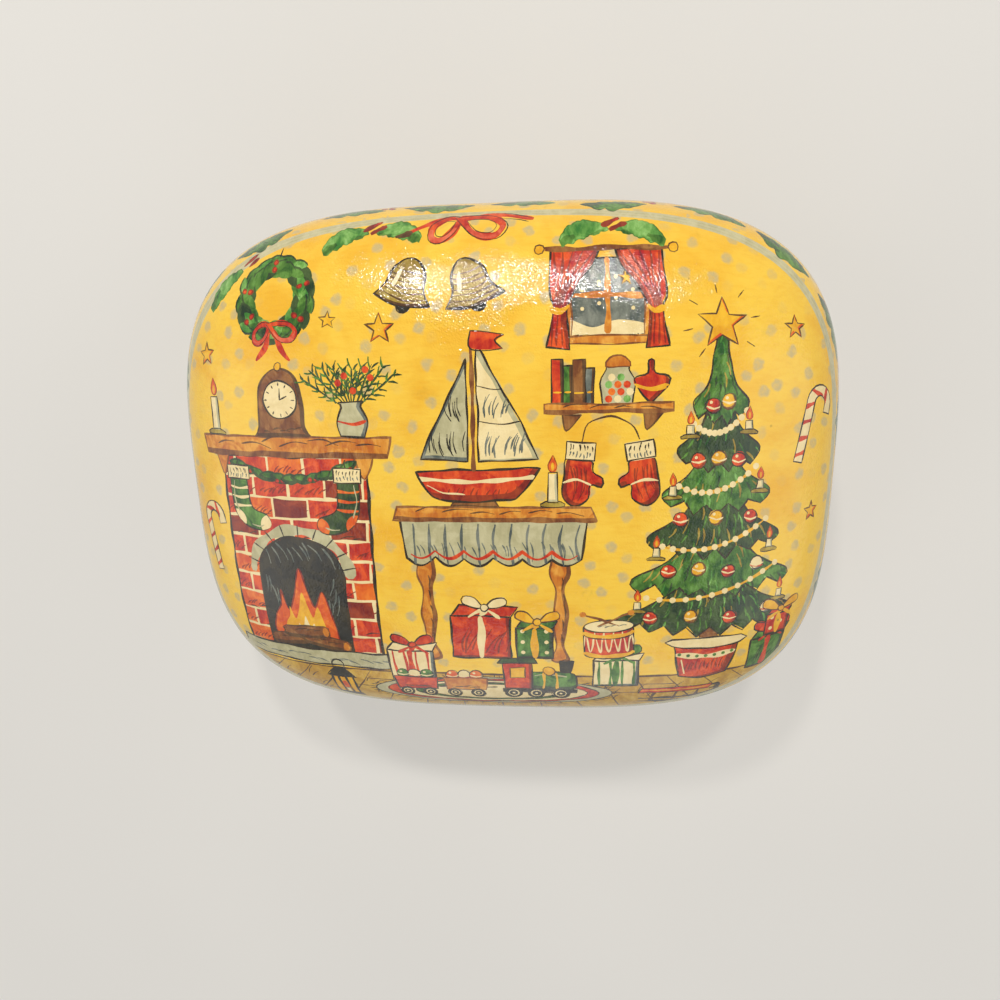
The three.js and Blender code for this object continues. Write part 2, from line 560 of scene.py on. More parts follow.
def leaf(p, x, y, length, turn, width=5.0, bend=0.14, pointed=False):
    """A brushed leaf from its stalk, with ragged lobes and a darker tip.

    A blunt one is pale, and has one nearly smooth side. A pointed one is deep green.
    """
    paint, tip = ("leaf", "pine") if pointed else ("spring", "leaf")
    first, last, fullness = (0.01, 0.99, 0.8) if pointed else (0.04, 0.94, 0.6)
    upper = (1, 0.34, 3.6) if pointed else (1, 0.12, 2.4)
    with p.at(x, y, turn=turn):
        t = np.linspace(0, 1, LEAF_STEPS)
        middle = length * (t + 1j * bend * np.sin(math.pi * t))
        body = width / 2 * np.sin(math.pi * np.linspace(first, last, LEAF_STEPS)) ** fullness
        edges = []
        for side, depth, lobes in (upper, (-1, 0.3, 4.3)):
            start = p.random.uniform(0, 1)
            bumps = 1 - depth + depth * np.abs(np.sin(math.pi * (lobes * t + start)))
            ragged = bumps + 0.05 * np.sin(31 * t + 6 * start) + 0.03 * np.sin(57 * t + 9 * start)
            edges.append(middle + side * 1j * body * ragged)
        outline = np.concatenate([edges[0], edges[1][::-1]])
        p.fill(outline, paint)
        with p.within(outline):
            p.stroke(outline, tip, 0.42, closed=True)
            end = p.random.randrange(26, 30)
            p.stroke(middle[end:] - 0.3j * body[end:], tip, width * 0.5, (0.8, 0.1))
            p.stroke(middle[4:17] - 0.75j * body[4:17], tip, width * 0.3, (0.5, 0.8))


def berries(p, x, y, count=3, size=1.0):
    """Round dabs of dark and bright red, set close together."""
    for i in range(count):
        angle = 360 / count * i + p.random.uniform(-15, 15)
        with p.at(x, y, size, angle):
            p.fill(p.tremor(arc(1.15, 0, 1.0, 0.9), True), "crimson")
            p.fill(arc(1.0, 0.1, 0.6, 0.5), "red")


def berry_strokes(p, x, y, turn=28, size=1.0):
    """Two slanting brush strokes of dark red, side by side."""
    with p.at(x, y, size, turn):
        for left, right, low in ((-2.2, 2.4, 0.8), (-1.0, 2.8, -0.9)):
            points = (left, low), ((left + right) / 2, low + 0.15), (right, low + 0.1)
            p.line(*points, paint="crimson", width=1.35, ends=(0.15, 0.15))
        p.line((0.4, 0.8), (2, 0.9), paint="red", width=0.6)


def sprig(p, x, y, turn=0):
    """Two leaves and their berries."""
    with p.at(x, y, turn=turn):
        leaf(p, 0.8, 0, 10.4, -20)
        with p.at(flip=True):
            leaf(p, 0.8, 0, 10.4, -22)
        berry_strokes(p, 0.2, 0.6)


def ribbon_bow(p, x, y, size=1.0, tails=True):
    """Two loops of ribbon, inked thinly round the outside."""
    with p.at(x, y, size):
        if tails:
            p.line((-1.2, 0.5), (-5, -0.5), (-8.6, -2.2), (-11.4, -3.9), paint="red", width=1.4)
            p.line((-9.8, -3.1), (-11.6, -4.1), (-13.4, -4.4), paint="umber", width=1.5)
            p.line((3, 0.5), (7.6, 1.0), (11, 0.6), (15.4, -0.6), paint="red", width=1.6)
            p.line((7.6, 1.7), (11.4, 1.2), (15.6, -0.4), width=0.22)
            p.line((9, -0.2), (12.2, -0.7), (14.6, -1.6), width=0.22)
        for loop in (
            soft((0, 0), (0, 0), (-2.6, 0.3), (-5.4, -1.8), (-5.6, -4.8), (-3.6, -5.6), (-1.2, -3.4)),
            soft((0, 0), (0, 0), (3.2, 0.5), (7.2, 0), (9.2, -2.2), (7.4, -4.8), (3.4, -4.2)),
        ):
            middle = loop.mean()
            p.stroke(loop, "red", 1.8, closed=True)
            low = np.flatnonzero(loop.imag < middle.imag)
            p.stroke(loop[low[0] : low[-1] + 1], "coral", 1.5, (0.4, 0.4))
            p.stroke(middle + (loop - middle) * 1.24, "ink", 0.24, closed=True)
            p.stroke(middle + (loop - middle) * 0.7, "ink", 0.2, closed=True)


def climb(turn):
    """How far the painter's hand rises round the lid, in millimetres: least at both ends."""
    return 0.7 - 1.1 * np.cos(2 * turn) - 0.9 * np.cos(4 * turn)


def line_heights(height, lift):
    """Heights all round a brushed line."""
    return height + lift * climb(RING_TURN) + 0.1 * np.sin(3 * RING_TURN + 1)


def band(p, skin, height, width, lift):
    """A brushed line round the box, whose width wavers."""
    middle = line_heights(height, lift)
    half = width / 2 * (1 + 0.15 * np.cos(RING_TURN + 2.3) + 0.08 * np.sin(5 * RING_TURN + 2))
    low, high = (skin.ring(skin.out_at(middle + side * half)) for side in (-1, 1))
    outer, inner = (low, high) if abs(low[0]) > abs(high[0]) else (high, low)
    p.shape([outer, inner[::-1]], "line")
    for place, share in ((-0.3, 0.34), (0.45, 0.3)):
        streak = skin.ring(skin.out_at(middle + place * half))
        p.stroke(streak, "grey", share, closed=True)


def side_garland(p, skin, height, lift, pitch=19, length=14.4):
    """Long leaves in a row round the side, with berries by some."""
    around = skin.along[-1]
    count = round(around / pitch)
    p.wrap = skin.side
    for i in range(count):
        x = around * (i + 0.27 + p.random.uniform(-0.08, 0.08)) / count
        y = height + lift * climb(np.interp(x, skin.along, skin.turn)) + p.random.uniform(-0.5, 0.5)
        lean = p.random.uniform(-5, 5)
        bend = 0.07 * (-1) ** i
        leaf(p, x, y, length * p.random.uniform(0.95, 1.12), lean, 5.2, bend, pointed=True)
        if i % 3 == 1:
            berries(p, x - 0.6, y - 1.9, 3, 0.9)
    p.wrap = None


# The lid's picture: a parlour at midwinter


def candle(p, x, y, height=9.0, size=1.0):
    with p.at(x, y, size):
        p.area(turned((3, 0), (2, 1.2)), "olive", 0.4)
        p.area(turned((1.3, 1.2), (1.1, 1.2 + height), line=sharp), "cream", 0.45, shade="grey")
        flame = [(x1, 1.2 + height + y1) for x1, y1 in ((0, 4.6), (0, 4.6), (1.1, 2), (0.6, 0.5))]
        p.area(turned(*flame), "orange", 0.3, "crimson")
        p.fill(arc(0, 2.9 + height, 0.4, 1.1), "gold")


def stocking(p, x, y, cloth, trim, flip=False):
    with p.at(x, y, 0.8, flip=flip):
        foot = soft(
            (-3, -3.5), (-3, -3.5), (3, -3.5), (3, -3.5), (3, -9), (4.2, -12), (8.4, -13.8),
            (9.4, -16.4), (7, -18), (2, -17.4), (-1.6, -14.6), (-3, -9),
        )  # fmt: skip
        p.area(foot, cloth, 0.6)
        with p.within(foot):
            p.dots(((9, -16.6), (-1.8, -15.6)), 3, trim)
            for stripe in (-6, -8.6, -11.2):
                p.line((-3.4, stripe), (0, stripe - 0.5), (3.6, stripe), paint=trim, width=0.8)
            p.line((-1.9, -4.4), (-2.1, -9), (-0.8, -13.4), paint="grey", width=0.4)
            p.line((3, -16.6), (5.4, -17), (7.2, -16.4), paint="grey", width=0.4)
        p.area(box(-3.8, -3.8, 7.6, 3.8), "cream", 0.5)
        p.hatch((-3.2, -0.6), (3.2, -0.6), -80, 1.4, 7, width=0.3)
        p.hatch((-3.2, -2.2), (3.2, -2.2), -100, 1.3, 7, "slate", 0.4)
        p.line((0, 0), (0.4, 1.6), (0, 2.4), width=0.4)


def brickwork(p, left, right, bottom, top, course=4.6, length=8.6):
    """Bricks of mixed reds in pale joints, with ink strokes on some."""
    wall = box(left, bottom, right - left, top - bottom)
    p.fill(wall, "cream")
    with p.within(wall):
        for row in range(math.ceil((top - bottom) / course)):
            y = bottom + row * course
            x = left - (row % 2) * length / 2 - p.random.uniform(0, 1)
            while x < right:
                paint = p.random.choice(("red", "red", "red", "red", "crimson", "orange"))
                p.fill(p.tremor(box(x + 0.3, y + 0.3, length - 0.6, course - 0.6), True), paint)
                if p.random.random() < 0.5:
                    p.hatch((x + 1, y + 1), (x + length - 1, y + 1), 40, 2.2, 6, "crimson", 0.4)
                if p.random.random() < 0.25:
                    p.hatch((x + 1, y + 0.6), (x + length - 2, y + 0.6), 3, 3, 2, width=0.3)
                x += length
    p.stroke(p.tremor(wall, True), "ink", 0.7, closed=True)


def fireplace(p):
    left, right, foot, top = -61, -26, -38, 8
    middle, spring, radius = (left + right) / 2, -19, 10.5
    brickwork(p, left, right, foot, top)
    arch = arc(middle, spring, radius + 1.6, 10.6, 0, 180)
    p.stroke(arch, "grey", 2.6, (0.02, 0.02))
    for angle in range(12, 180, 19):
        spoke = complex(math.cos(math.radians(angle)), math.sin(math.radians(angle)))
        inside, outside = radius * spoke, (radius + 3.2) * spoke
        p.line(
            (middle + inside.real, spring + inside.imag * 0.88),
            (middle + outside.real, spring + outside.imag * 0.88),
            width=0.35,
        )
    sides = (middle - radius, foot), (middle + radius, foot), (middle + radius, spring)
    opening = np.concatenate([sharp(*sides, closed=False), arc(middle, spring, radius, 9, 0, 180)])
    p.area(opening, "charcoal", 0.8)
    with p.within(opening), p.at(middle, foot):
        log_fire(p)
    p.area(sharp((-65, -42.4), (-22, -42.4), (-23, -38), (-64, -38)), "grey", 0.6)
    p.hatch((-63, -40.4), (-25, -40.4), -12, 3.5, 14, "slate", 0.4, 0.6)
    for side in (left, right - 0.6):
        p.area(soft((side - 2, 8), (side - 2, 8), (side + 2, 8), (side + 2, 8), (side, 3.4)), "wood", 0.5)
    p.area(sharp((-66, 8), (-21.5, 8), (-20.5, 12.2), (-67, 12.2)), "wood", 0.6, shade="brown", shift=(0, 1))
    p.hatch((-64, 10.6), (-26, 10.6), 2, 7, 7, "umber", 0.35, 0.8)
    swag(p, -58, -29, 6.4, 3.4, 11)
    stocking(p, -57, 5.6, "leaf", "cream")
    stocking(p, -30.5, 5.6, "pine", "orange", flip=True)
    candle(p, -62, 12.4, 8, 0.9)
    mantel_clock(p, -44.5, 12.4)
    vase_of_fir(p, -28.5, 12.4)


def log_fire(p):
    """Sooty brush strokes, three flames inside each other and three logs."""
    p.hatch((-9, 26), (9, 26), -62, 5, 11, "slate", 0.4, 1)
    p.hatch((-9.4, 20), (-5, 9), -84, 5, 7, "slate", 0.4, 1)
    p.hatch((9, 20), (6, 9), -95, 5, 6, "slate", 0.4, 1)
    flames = soft(
        (-7.5, 3), (-8, 8), (-6, 11.5), (-5.6, 15), (-4, 10.5), (-2.2, 14), (-0.4, 20.5),
        (1.4, 15), (2.8, 11.5), (4.8, 15.5), (6.4, 10), (7.4, 5), (6, 2),
    )  # fmt: skip
    p.area(flames, "orange", 0.4, "crimson")
    p.fill(0.68 * flames + 1j, "gold")
    p.fill(0.36 * flames + 1.6j, "cream")
    for x, y, turn in ((-4.6, 2.6, 8), (4, 2.4, -10), (-0.6, 4.8, 4)):
        with p.at(x, y, turn=turn):
            p.area(turned((5, -1.4), (5.6, 0), (5, 1.4)), "brown", 0.5, shade="umber", shift=(0, 0.7))
            p.area(arc(5, 0, 0.9, 1.4), "wood", 0.35)
            p.hatch((-4, 0.2), (3, 0.2), 5, 2.4, 4, "umber", 0.35)


def swag(p, left, right, y, drop, count):
    """Short leaves hung in a curve, with berries."""
    for i in range(count):
        share = (i + 0.5) / count * 2 - 1
        x = (left + right) / 2 + share * (right - left) / 2
        hang = y - drop * (1 - share * share)
        with p.at(x, hang, turn=30 * share + p.random.uniform(-20, 20)):
            p.fill(p.tremor(soft((-2.6, 0), (0, 1.3), (2.8, 0.2), (0, -1.2)), True), "pine")
            p.fill(soft((-1.8, 0.2), (0, 0.9), (2, 0.3), (0, -0.3)), "leaf")
        if i % 3 == 1:
            berries(p, x, hang - 0.4, 2, 0.6)


def mantel_clock(p, x, y):
    with p.at(x, y, 0.92):
        case = turned((7, 0), (7, 0), (6, 1.8), (5.6, 9), (4, 13.4), (0, 15.2))
        p.area(case, "brown", 0.6, shade="umber", shift=(-1, 0.6))
        p.hatch((-5.4, 1.2), (4, 1.2), 4, 2.6, 5, "umber", 0.4)
        p.area(arc(0, 8.2, 4.3), "cream", 0.5)
        for hour in range(12):
            with p.at(0, 8.2, turn=30 * hour):
                p.line((3.1, 0), (3.9, 0), width=0.35, ends=BLUNT)
        p.line((0, 8.2), (0.2, 11), width=0.4)
        p.line((0, 8.2), (1.9, 9.2), width=0.45)
        p.area(arc(0, 15.7, 0.9), "gold", 0.35)


def vase_of_fir(p, x, y):
    with p.at(x, y):
        for angle in range(38, 150, 12):
            reach = 11 + 2 * math.sin(3 * math.radians(angle))
            with p.at(0, 5, turn=angle):
                p.line((0, 0), (reach, 0.2), paint="pine", width=0.4)
                for lean, paint in ((35, "leaf"), (-35, "pine")):
                    p.hatch((3, 0), (reach, 0), lean, 2.2, 5, paint, 0.5)
        p.dots(((-2.6, 11), (-1.2, 12.4), (3.4, 13.6), (4.4, 12), (0.6, 9.4)), 0.75, "red")
        vase = turned((2.6, 0), (2.6, 0), (3.4, 3), (2, 6), (2.6, 7.2), (2.6, 7.2))
        p.area(vase, "grey", 0.5, shade="slate", shift=(-0.9, 0.2))
        p.line((-3.2, 3.2), (0, 2.6), (3.2, 3.2), paint="red", width=0.7)


def star(p, x, y, size):
    reach = [size if i % 2 == 0 else size * 0.42 for i in range(10)]
    turn = [math.radians(90 + 36 * i) for i in range(10)]
    tips = [(x + r * math.cos(a), y + r * math.sin(a)) for r, a in zip(reach, turn)]
    p.area(sharp(*tips), "gold", 0.4, shade="orange" if size > 2 else None, shift=(-0.4, 0.3))


def bauble(p, x, y, radius, paint):
    dark = {"red": "crimson", "leaf": "pine", "cream": "slate"}.get(paint, "brown")
    ball = p.area(arc(x, y, radius), paint, 0.35, shade=dark, shift=(-0.35, 0.35))
    with p.within(ball):
        if paint == "cream":
            p.line((x - radius, y - 0.5), (x, y - 0.9), (x + radius, y - 0.5), paint="red", width=0.4)
        p.line((x - radius, y), (x, y - 0.35 * radius), (x + radius, y), paint="cream", width=0.4)
    p.fill(arc(x - 0.3 * radius, y + 0.45 * radius, 0.22 * radius), "cream")


def fir_tree(p, x, foot, height=62, spread=20, tiers=6):
    """Drooping tiers, from the lowest up, with brushed needles, candles and beads."""
    with p.at(x, foot):
        p.area(turned((2, -3), (1.6, 8), line=sharp), "brown", 0.5)
        for i in range(tiers):
            fir_tier(p, i / (tiers - 1), height, spread, "pine" if i % 2 == 0 else "leaf")
        rows = (3.6, 13, 4), (14.6, 9.6, 4), (26, 7.4, 3), (38.4, 4.2, 3), (49.6, 1.6, 2)
        for low, half, count in rows:
            for k in range(count):
                place = half * (2 * k / (count - 1) - 1)
                paint = ("red", "gold", "red", "cream")[k]
                bauble(p, place, low + 0.08 * abs(place) + 0.8 * (k % 2), 1.55, paint)
        for half, y0 in ((14, 9.6), (11, 20.4), (8, 32.4), (5.4, 44.4)):
            t = np.linspace(-1, 1, 41)
            beads = half * t + 1j * (y0 + 3 * t**2 + 0.22 * half * t)
            p.stroke(beads, "gold", 0.7)
            p.dots([(z.real, z.imag) for z in beads[::4]], 0.7, "cream")
        for half, y0 in ((15.8, 6), (12.2, 18), (9.2, 31), (6, 43.4)):
            candle(p, -half, y0, 3, 0.62)
            candle(p, half, y0 + 0.6, 3, 0.62)
        star(p, 0, height * 1.06, 5.2)
        for turn in range(10, 370, 45):
            with p.at(0, height * 1.06, turn=turn):
                p.line((6, 0), (8, 0), paint="umber", width=0.3)
        tub = turned((7.4, -2), (7.4, -2), (5.6, -11.5), (5.6, -11.5), (0, -12.6))
        p.area(tub, "red", 0.6, shade="crimson", shift=(-1.4, 0.6))
        with p.within(tub):
            p.hatch((-6, -9.8), (6, -9.8), 82, 3, 13, "crimson", 0.45)
            p.line((-5.4, -6.6), (-4.9, -8.8), (-4.4, -10.8), paint="cream", width=0.4)
            p.line((-7, -5), (0, -6), (7, -5), paint="cream", width=1.5, ends=BLUNT)
            p.dots([(2 * k, -5.8 + 0.08 * k * k) for k in range(-3, 4)], 0.45, "leaf")
        p.area(turned((7.8, -1), (7.8, -2.8), (0, -3.6)), "cream", 0.5)


def fir_tier(p, share, height, spread, paint):
    """One tier: a hem of drooping branch tips, two sides and brushed needles."""
    low = 2 + height * 0.74 * share
    top = low + height * (0.34 - 0.06 * share)
    half = spread * (1 - 0.72 * share)
    tips = max(3, round(8 - 4.5 * share))
    hem = []
    for k in range(tips):
        notch, tip = 2 * k / tips - 1, 1.05 * (2 * (k + 0.5) / tips - 1)
        droop = p.random.uniform(1.7, 2.9)
        hem += [(half * notch, low + 2.6 * notch**2)] * (2 if k else 1)
        hem += [(half * tip, low + 2.6 * tip**2 - droop)] * 2
    waist = (half * 0.46, low + (top - low) * 0.4)
    right = [(half, low + 2.6), waist, (0.6, top)]
    left = [(-0.6, top), (-waist[0], waist[1])]
    tier = p.area(soft(*hem, *right, *left), paint, 0.45)
    with p.within(tier):
        for row in range(9):
            y = low - 1 + (top - low) * 0.12 * row
            reach = half * (1 - 0.115 * row)
            count = max(3, round(reach * 1.3))
            for k in range(count):
                place = (k + 0.5) / count * 2 - 1
                stroke = p.random.choice(("spring", "leaf", "leaf", "pine", "pine", "olive"))
                root = (reach * place, y + 3)
                p.hatch(root, (root[0], y + 3.01), -90 + 48 * place, 3.2, 1, stroke, 0.45, 0.5)


def present(p, x, y, width, height, paper, ribbon, pattern="folds"):
    """A wrapped box seen a little from above, its lower left corner at x, y."""
    with p.at(x, y, turn=p.random.uniform(-1.5, 1.5)):
        depth = height * 0.24
        front = box(0, 0, width, height)
        back = height + depth
        lid = (0, height), (width, height), (width + depth * 0.6, back), (depth * 0.7, back)
        dark = {"red": "crimson", "leaf": "pine"}.get(paper, "slate")
        p.area(front, paper, 0.6, shade=dark, shift=(-0.8, 0.6))
        with p.within(front):
            for i in range(int(width // 2.6) + 1):
                if pattern == "dots":
                    rise = 1.6 + 1.4 * (i % 2)
                    p.dots([(1.4 + 2.6 * i, rise + 2.8 * j) for j in range(4)], 0.5, "cream")
                elif pattern == "stripes":
                    stripe = (1.3 + 2.6 * i, 0), (1.2 + 2.6 * i, height)
                    p.line(*stripe, paint=ribbon, width=0.6, ends=BLUNT)
            if pattern == "folds":
                p.hatch((1, 1.5), (width - 1, 1.5), 66, height * 0.6, round(width / 1.5), dark, 0.45, 0.8)
        p.area(sharp(*lid), paper, 0.5)
        middle, bow_x, bow_y = width / 2, width / 2 + depth * 0.35, height + depth * 0.7
        p.line((middle, 0), (middle, height), paint=ribbon, width=1.6, ends=BLUNT)
        p.line((middle, height), (middle + depth * 0.65, back), paint=ribbon, width=1.3, ends=BLUNT)
        for flip in (False, True):
            with p.at(bow_x, bow_y, flip=flip):
                p.area(soft((0, 0), (0, 0), (2, 2.4), (4.4, 2.8), (4.8, 1.2), (2.6, 0.2)), ribbon, 0.4)
                p.line((0.4, -0.2), (2, -1.2), (3.4, -2.2), paint=ribbon, width=0.8)
        p.area(arc(bow_x, bow_y + 0.2, 0.9, 0.8), ribbon, 0.35)


def drum(p, x, y, size=1.0, turn=0):
    with p.at(x, y, size, turn):
        body = np.concatenate([arc(0, 0, 7, 1.9, 180, 360), arc(0, 9, 7, 1.9, 0, 180)])
        p.area(body, "red", 0.6, shade="crimson", shift=(-1.6, 0))
        with p.within(body):
            for k in range(-3, 4):
                x1 = 2.6 * k
                p.line((x1 - 1.3, 7.2), (x1, 0.4), (x1 + 1.3, 7.2), paint="cream", width=0.5)
        for height, width in ((0.6, 1.5), (7.6, 1.4)):
            p.stroke(arc(0, height, 7, 1.9, 180, 360), "gold", width, (0.02, 0.02))
            p.stroke(arc(0, height - 0.8, 7, 1.9, 180, 360), "ink", 0.35, (0.02, 0.02))
        p.area(arc(0, 9.2, 7, 2), "cream", 0.5)
        p.hatch((-4, 9), (4, 9), 10, 2.2, 4, "slate", 0.35)
        for side, tip in ((1, 6.4), (-1, 7)):
            p.line((-3 * side, 9.4), (tip * side, 13.2), paint="brown", width=0.7)
            p.fill(arc(tip * side, 13.3, 1, 0.9), "wood")


def table_with_boat(p):
    leg = turned((1.3, 0), (1.3, 0), (2, -5), (0.9, -9), (1.6, -15), (0.8, -22), (1.9, -26.5))
    for x in (-14.5, 14):
        p.area(leg + complex(x, -12), "wood", 0.5, shade="brown")
        p.hatch((x + 0.4, -16), (x + 0.4, -33), -90, 3.2, 5, "umber", 0.35)
    t = np.linspace(-1, 1, 121)
    hem = 18.5 * t - 1j * (13.6 + 1.7 * np.abs(np.sin(math.pi * 3 * (t + 1))))
    above = sharp((18.5, -13.6), (19.6, -5), (-19.6, -5), (-18.5, -13.6), closed=False)
    cloth = np.concatenate([hem, above])
    p.area(cloth, "grey", 0.6)
    with p.within(cloth):
        for k in range(-5, 6):
            fold = (3.5 * k + 0.6, -6), (3.4 * k + 0.2, -10), (3.5 * k + 0.9, -15.5)
            p.line(*fold, paint="slate", width=0.6)
        p.hatch((-17, -10.5), (17, -10.5), -75, 3.4, 26, "slate", 0.35, 0.7)
        p.stroke(hem[3:-3] + 1.6j, "red", 0.7)
    board = sharp((-21, -5.4), (21.5, -5.4), (20.5, -2.4), (-20, -2.4))
    p.area(board, "wood", 0.6, shade="brown", shift=(0, 0.8))
    p.hatch((-19, -3.6), (16, -3.6), 2, 6, 6, "umber", 0.3)
    toy_boat(p, -3.5, -2.2)
    candle(p, 12.6, -2.2, 7.5, 0.8)


def toy_boat(p, x, y):
    with p.at(x, y):
        p.area(turned((5, 0), (3.6, 2), line=sharp), "brown", 0.4)
        hull = soft(
            (-12, 7.4), (-12, 7.4), (13.5, 8), (13.5, 8), (9.6, 2.6), (6, 1.2), (-6, 1.2), (-9.6, 2.8),
        )  # fmt: skip
        p.area(hull, "red", 0.6, shade="crimson", shift=(-0.6, 1.4))
        with p.within(hull):
            p.line((-12, 5.8), (0, 5.2), (12.6, 6.2), paint="cream", width=0.9, ends=BLUNT)
            p.hatch((-8, 1.6), (9, 1.6), 70, 2.4, 11, "crimson", 0.4)
            p.line((-9.8, 4.4), (-6.6, 2.9), (-2, 2.4), paint="cream", width=0.35)
        p.line((0, 7.6), (0.2, 20), (0, 35), paint="brown", width=0.9, ends=(0.01, 0.1))
        main = soft((1.2, 9.4), (1.2, 9.4), (13.4, 9.8), (13.4, 9.8), (9.4, 18), (4.4, 27), (1, 33), (1, 33))
        jib = soft((-1, 9.6), (-1, 9.6), (-1, 30), (-1, 30), (-5, 22), (-9.6, 13), (-11, 9.8), (-11, 9.8))
        p.area(main, "cream", 0.5, shade="grey", shift=(-1.4, 0.4))
        p.area(jib, "grey", 0.5, shade="slate", shift=(1.0, 0.8))
        with p.within(main):
            p.hatch((2.2, 11), (10.6, 11), 74, 4.4, 13, "slate", 0.4, 0.8)
            p.hatch((2.2, 18.6), (7, 18.6), 76, 4, 8, "slate", 0.35, 0.8)
            for seam in (17.6, 24.6):
                p.line((1, seam), (4.6, seam - 0.6), (10, seam), width=0.3)
        with p.within(jib):
            p.hatch((-8.6, 11), (-2, 11), 100, 4.4, 10, "charcoal", 0.3, 0.8)
            p.hatch((-5, 18), (-2, 18), 100, 4, 6, "charcoal", 0.3, 0.8)
        pennant = soft(
            (0, 35.4), (0, 35.4), (6.6, 34.6), (6.6, 34.6), (4.8, 33.4), (6.4, 31.8), (6.4, 31.8), (0, 32),
        )  # fmt: skip
        p.area(pennant, "red", 0.35)


def toy_train(p, x, y, size=1.0):
    """An engine with two trucks, standing at y."""
    with p.at(x, y, size):
        p.area(box(-9, 2.4, 18.6, 1.4), "charcoal", 0.4)
        boiler = soft((-1.6, 3.8), (-1.6, 3.8), (8, 3.8), (9.4, 7), (7.6, 10.2), (-1.6, 10.2), (-1.6, 10.2))
        p.area(boiler, "leaf", 0.5, shade="pine", shift=(0, 1.4))
        p.line((-1, 8.8), (3, 9.3), (7, 8.8), paint="grey", width=0.45)
        for hoop in (1.2, 4.4):
            p.line((hoop, 3.9), (hoop + 0.3, 7), (hoop, 10.1), paint="gold", width=0.7, ends=BLUNT)
        p.area(sharp((5.6, 10.2), (8, 10.2), (8.6, 14), (5, 14)), "charcoal", 0.4)
        p.area(arc(2.6, 10.6, 1.5), "gold", 0.35)
        p.area(box(-8.6, 3.8, 7, 9.2), "red", 0.5, shade="crimson")
        p.area(box(-7, 8, 3.8, 3.6), "gold", 0.4)
        p.area(sharp((-10, 13), (-0.2, 13), (-1, 14.6), (-9, 14.6)), "pine", 0.45)
        wheel_places = [(-6.4, 2.2), (-0.6, 2.2), (5.6, 2.2)]
        for truck, paint, load in ((-18.5, "wood", "orange"), (-31, "red", "leaf")):
            p.line((truck + 5.4, 4), (truck + 8, 4.4), width=0.5)
            for k in (-3, 0, 3):
                bauble(p, truck + k, 8.6, 1.7, load if k else "cream")
            p.area(sharp((-5, 3), (5, 3), (5.6, 7.6), (-5.6, 7.6)) + truck, paint, 0.5)
            p.hatch((truck - 4, 4), (truck + 3, 4), 4, 2.4, 5, "umber", 0.35)
            wheel_places += [(truck - 3, 1.8), (truck + 3, 1.8)]
        for wheel_x, radius in wheel_places:
            p.area(arc(wheel_x, radius - 0.2, radius), "charcoal", 0.3)
            p.stroke(arc(wheel_x, radius - 0.2, radius * 0.6), "cream", 0.35, closed=True)
            p.dots([(wheel_x, radius - 0.2)], 0.4, "cream")


def bell(p, x, y, turn):
    with p.at(x, y, turn=turn):
        p.area(arc(0.6, -9.6, 1.5), "charcoal", 0.3)
        shape = turned((1.2, 0), (3.4, -2.6), (4, -6), (6, -8.8), (6, -8.8), (0, -9.8))
        p.area(shape, "olive", 0.6, shade="umber", shift=(-0.6, 0.5))
        with p.within(shape):
            for fall in range(7):
                y1 = -2.2 - 1.15 * fall
                p.line((-5.6, y1 + 0.5), (0, y1 - 0.6), (5.6, y1 + 0.5), paint="umber", width=0.3)
        p.fill(soft((-2, -2.6), (-1.4, -2.4), (-2, -6), (-2.8, -6)), "cream")


def mittens(p, x, y):
    """A pair hanging on a cord."""
    with p.at(x, y):
        p.line((-5.4, 0), (-4, 3.6), (0.4, 5.2), (4.4, 3.6), (6, 0.4), paint="umber", width=0.4)
        for side, turn, flip in ((-5.4, -6, False), (6, 8, True)):
            with p.at(side, 0, 0.95, turn, flip):
                hand = soft(
                    (-2.4, -3.6), (2.4, -3.6), (3, -6), (5.2, -7.2), (5, -9.2), (2.8, -9),
                    (2.8, -12), (0, -14), (-2.8, -12), (-3, -7),
                )  # fmt: skip
                p.area(hand, "red", 0.5, shade="crimson", shift=(0.9, 0.8))
                with p.within(hand):
                    p.hatch((-2, -5.4), (2, -5.4), -88, 7, 6, "crimson", 0.35)
                    p.line((-3, -9), (0, -8.2), (3, -9), paint="cream", width=0.6)
                p.area(box(-3, -3.8, 6, 3.8), "cream", 0.45)
                p.hatch((-2.6, -0.6), (2.6, -0.6), -85, 1.3, 7, width=0.3)
                p.hatch((-2.6, -2.2), (2.6, -2.2), -95, 1.2, 7, "slate", 0.35)


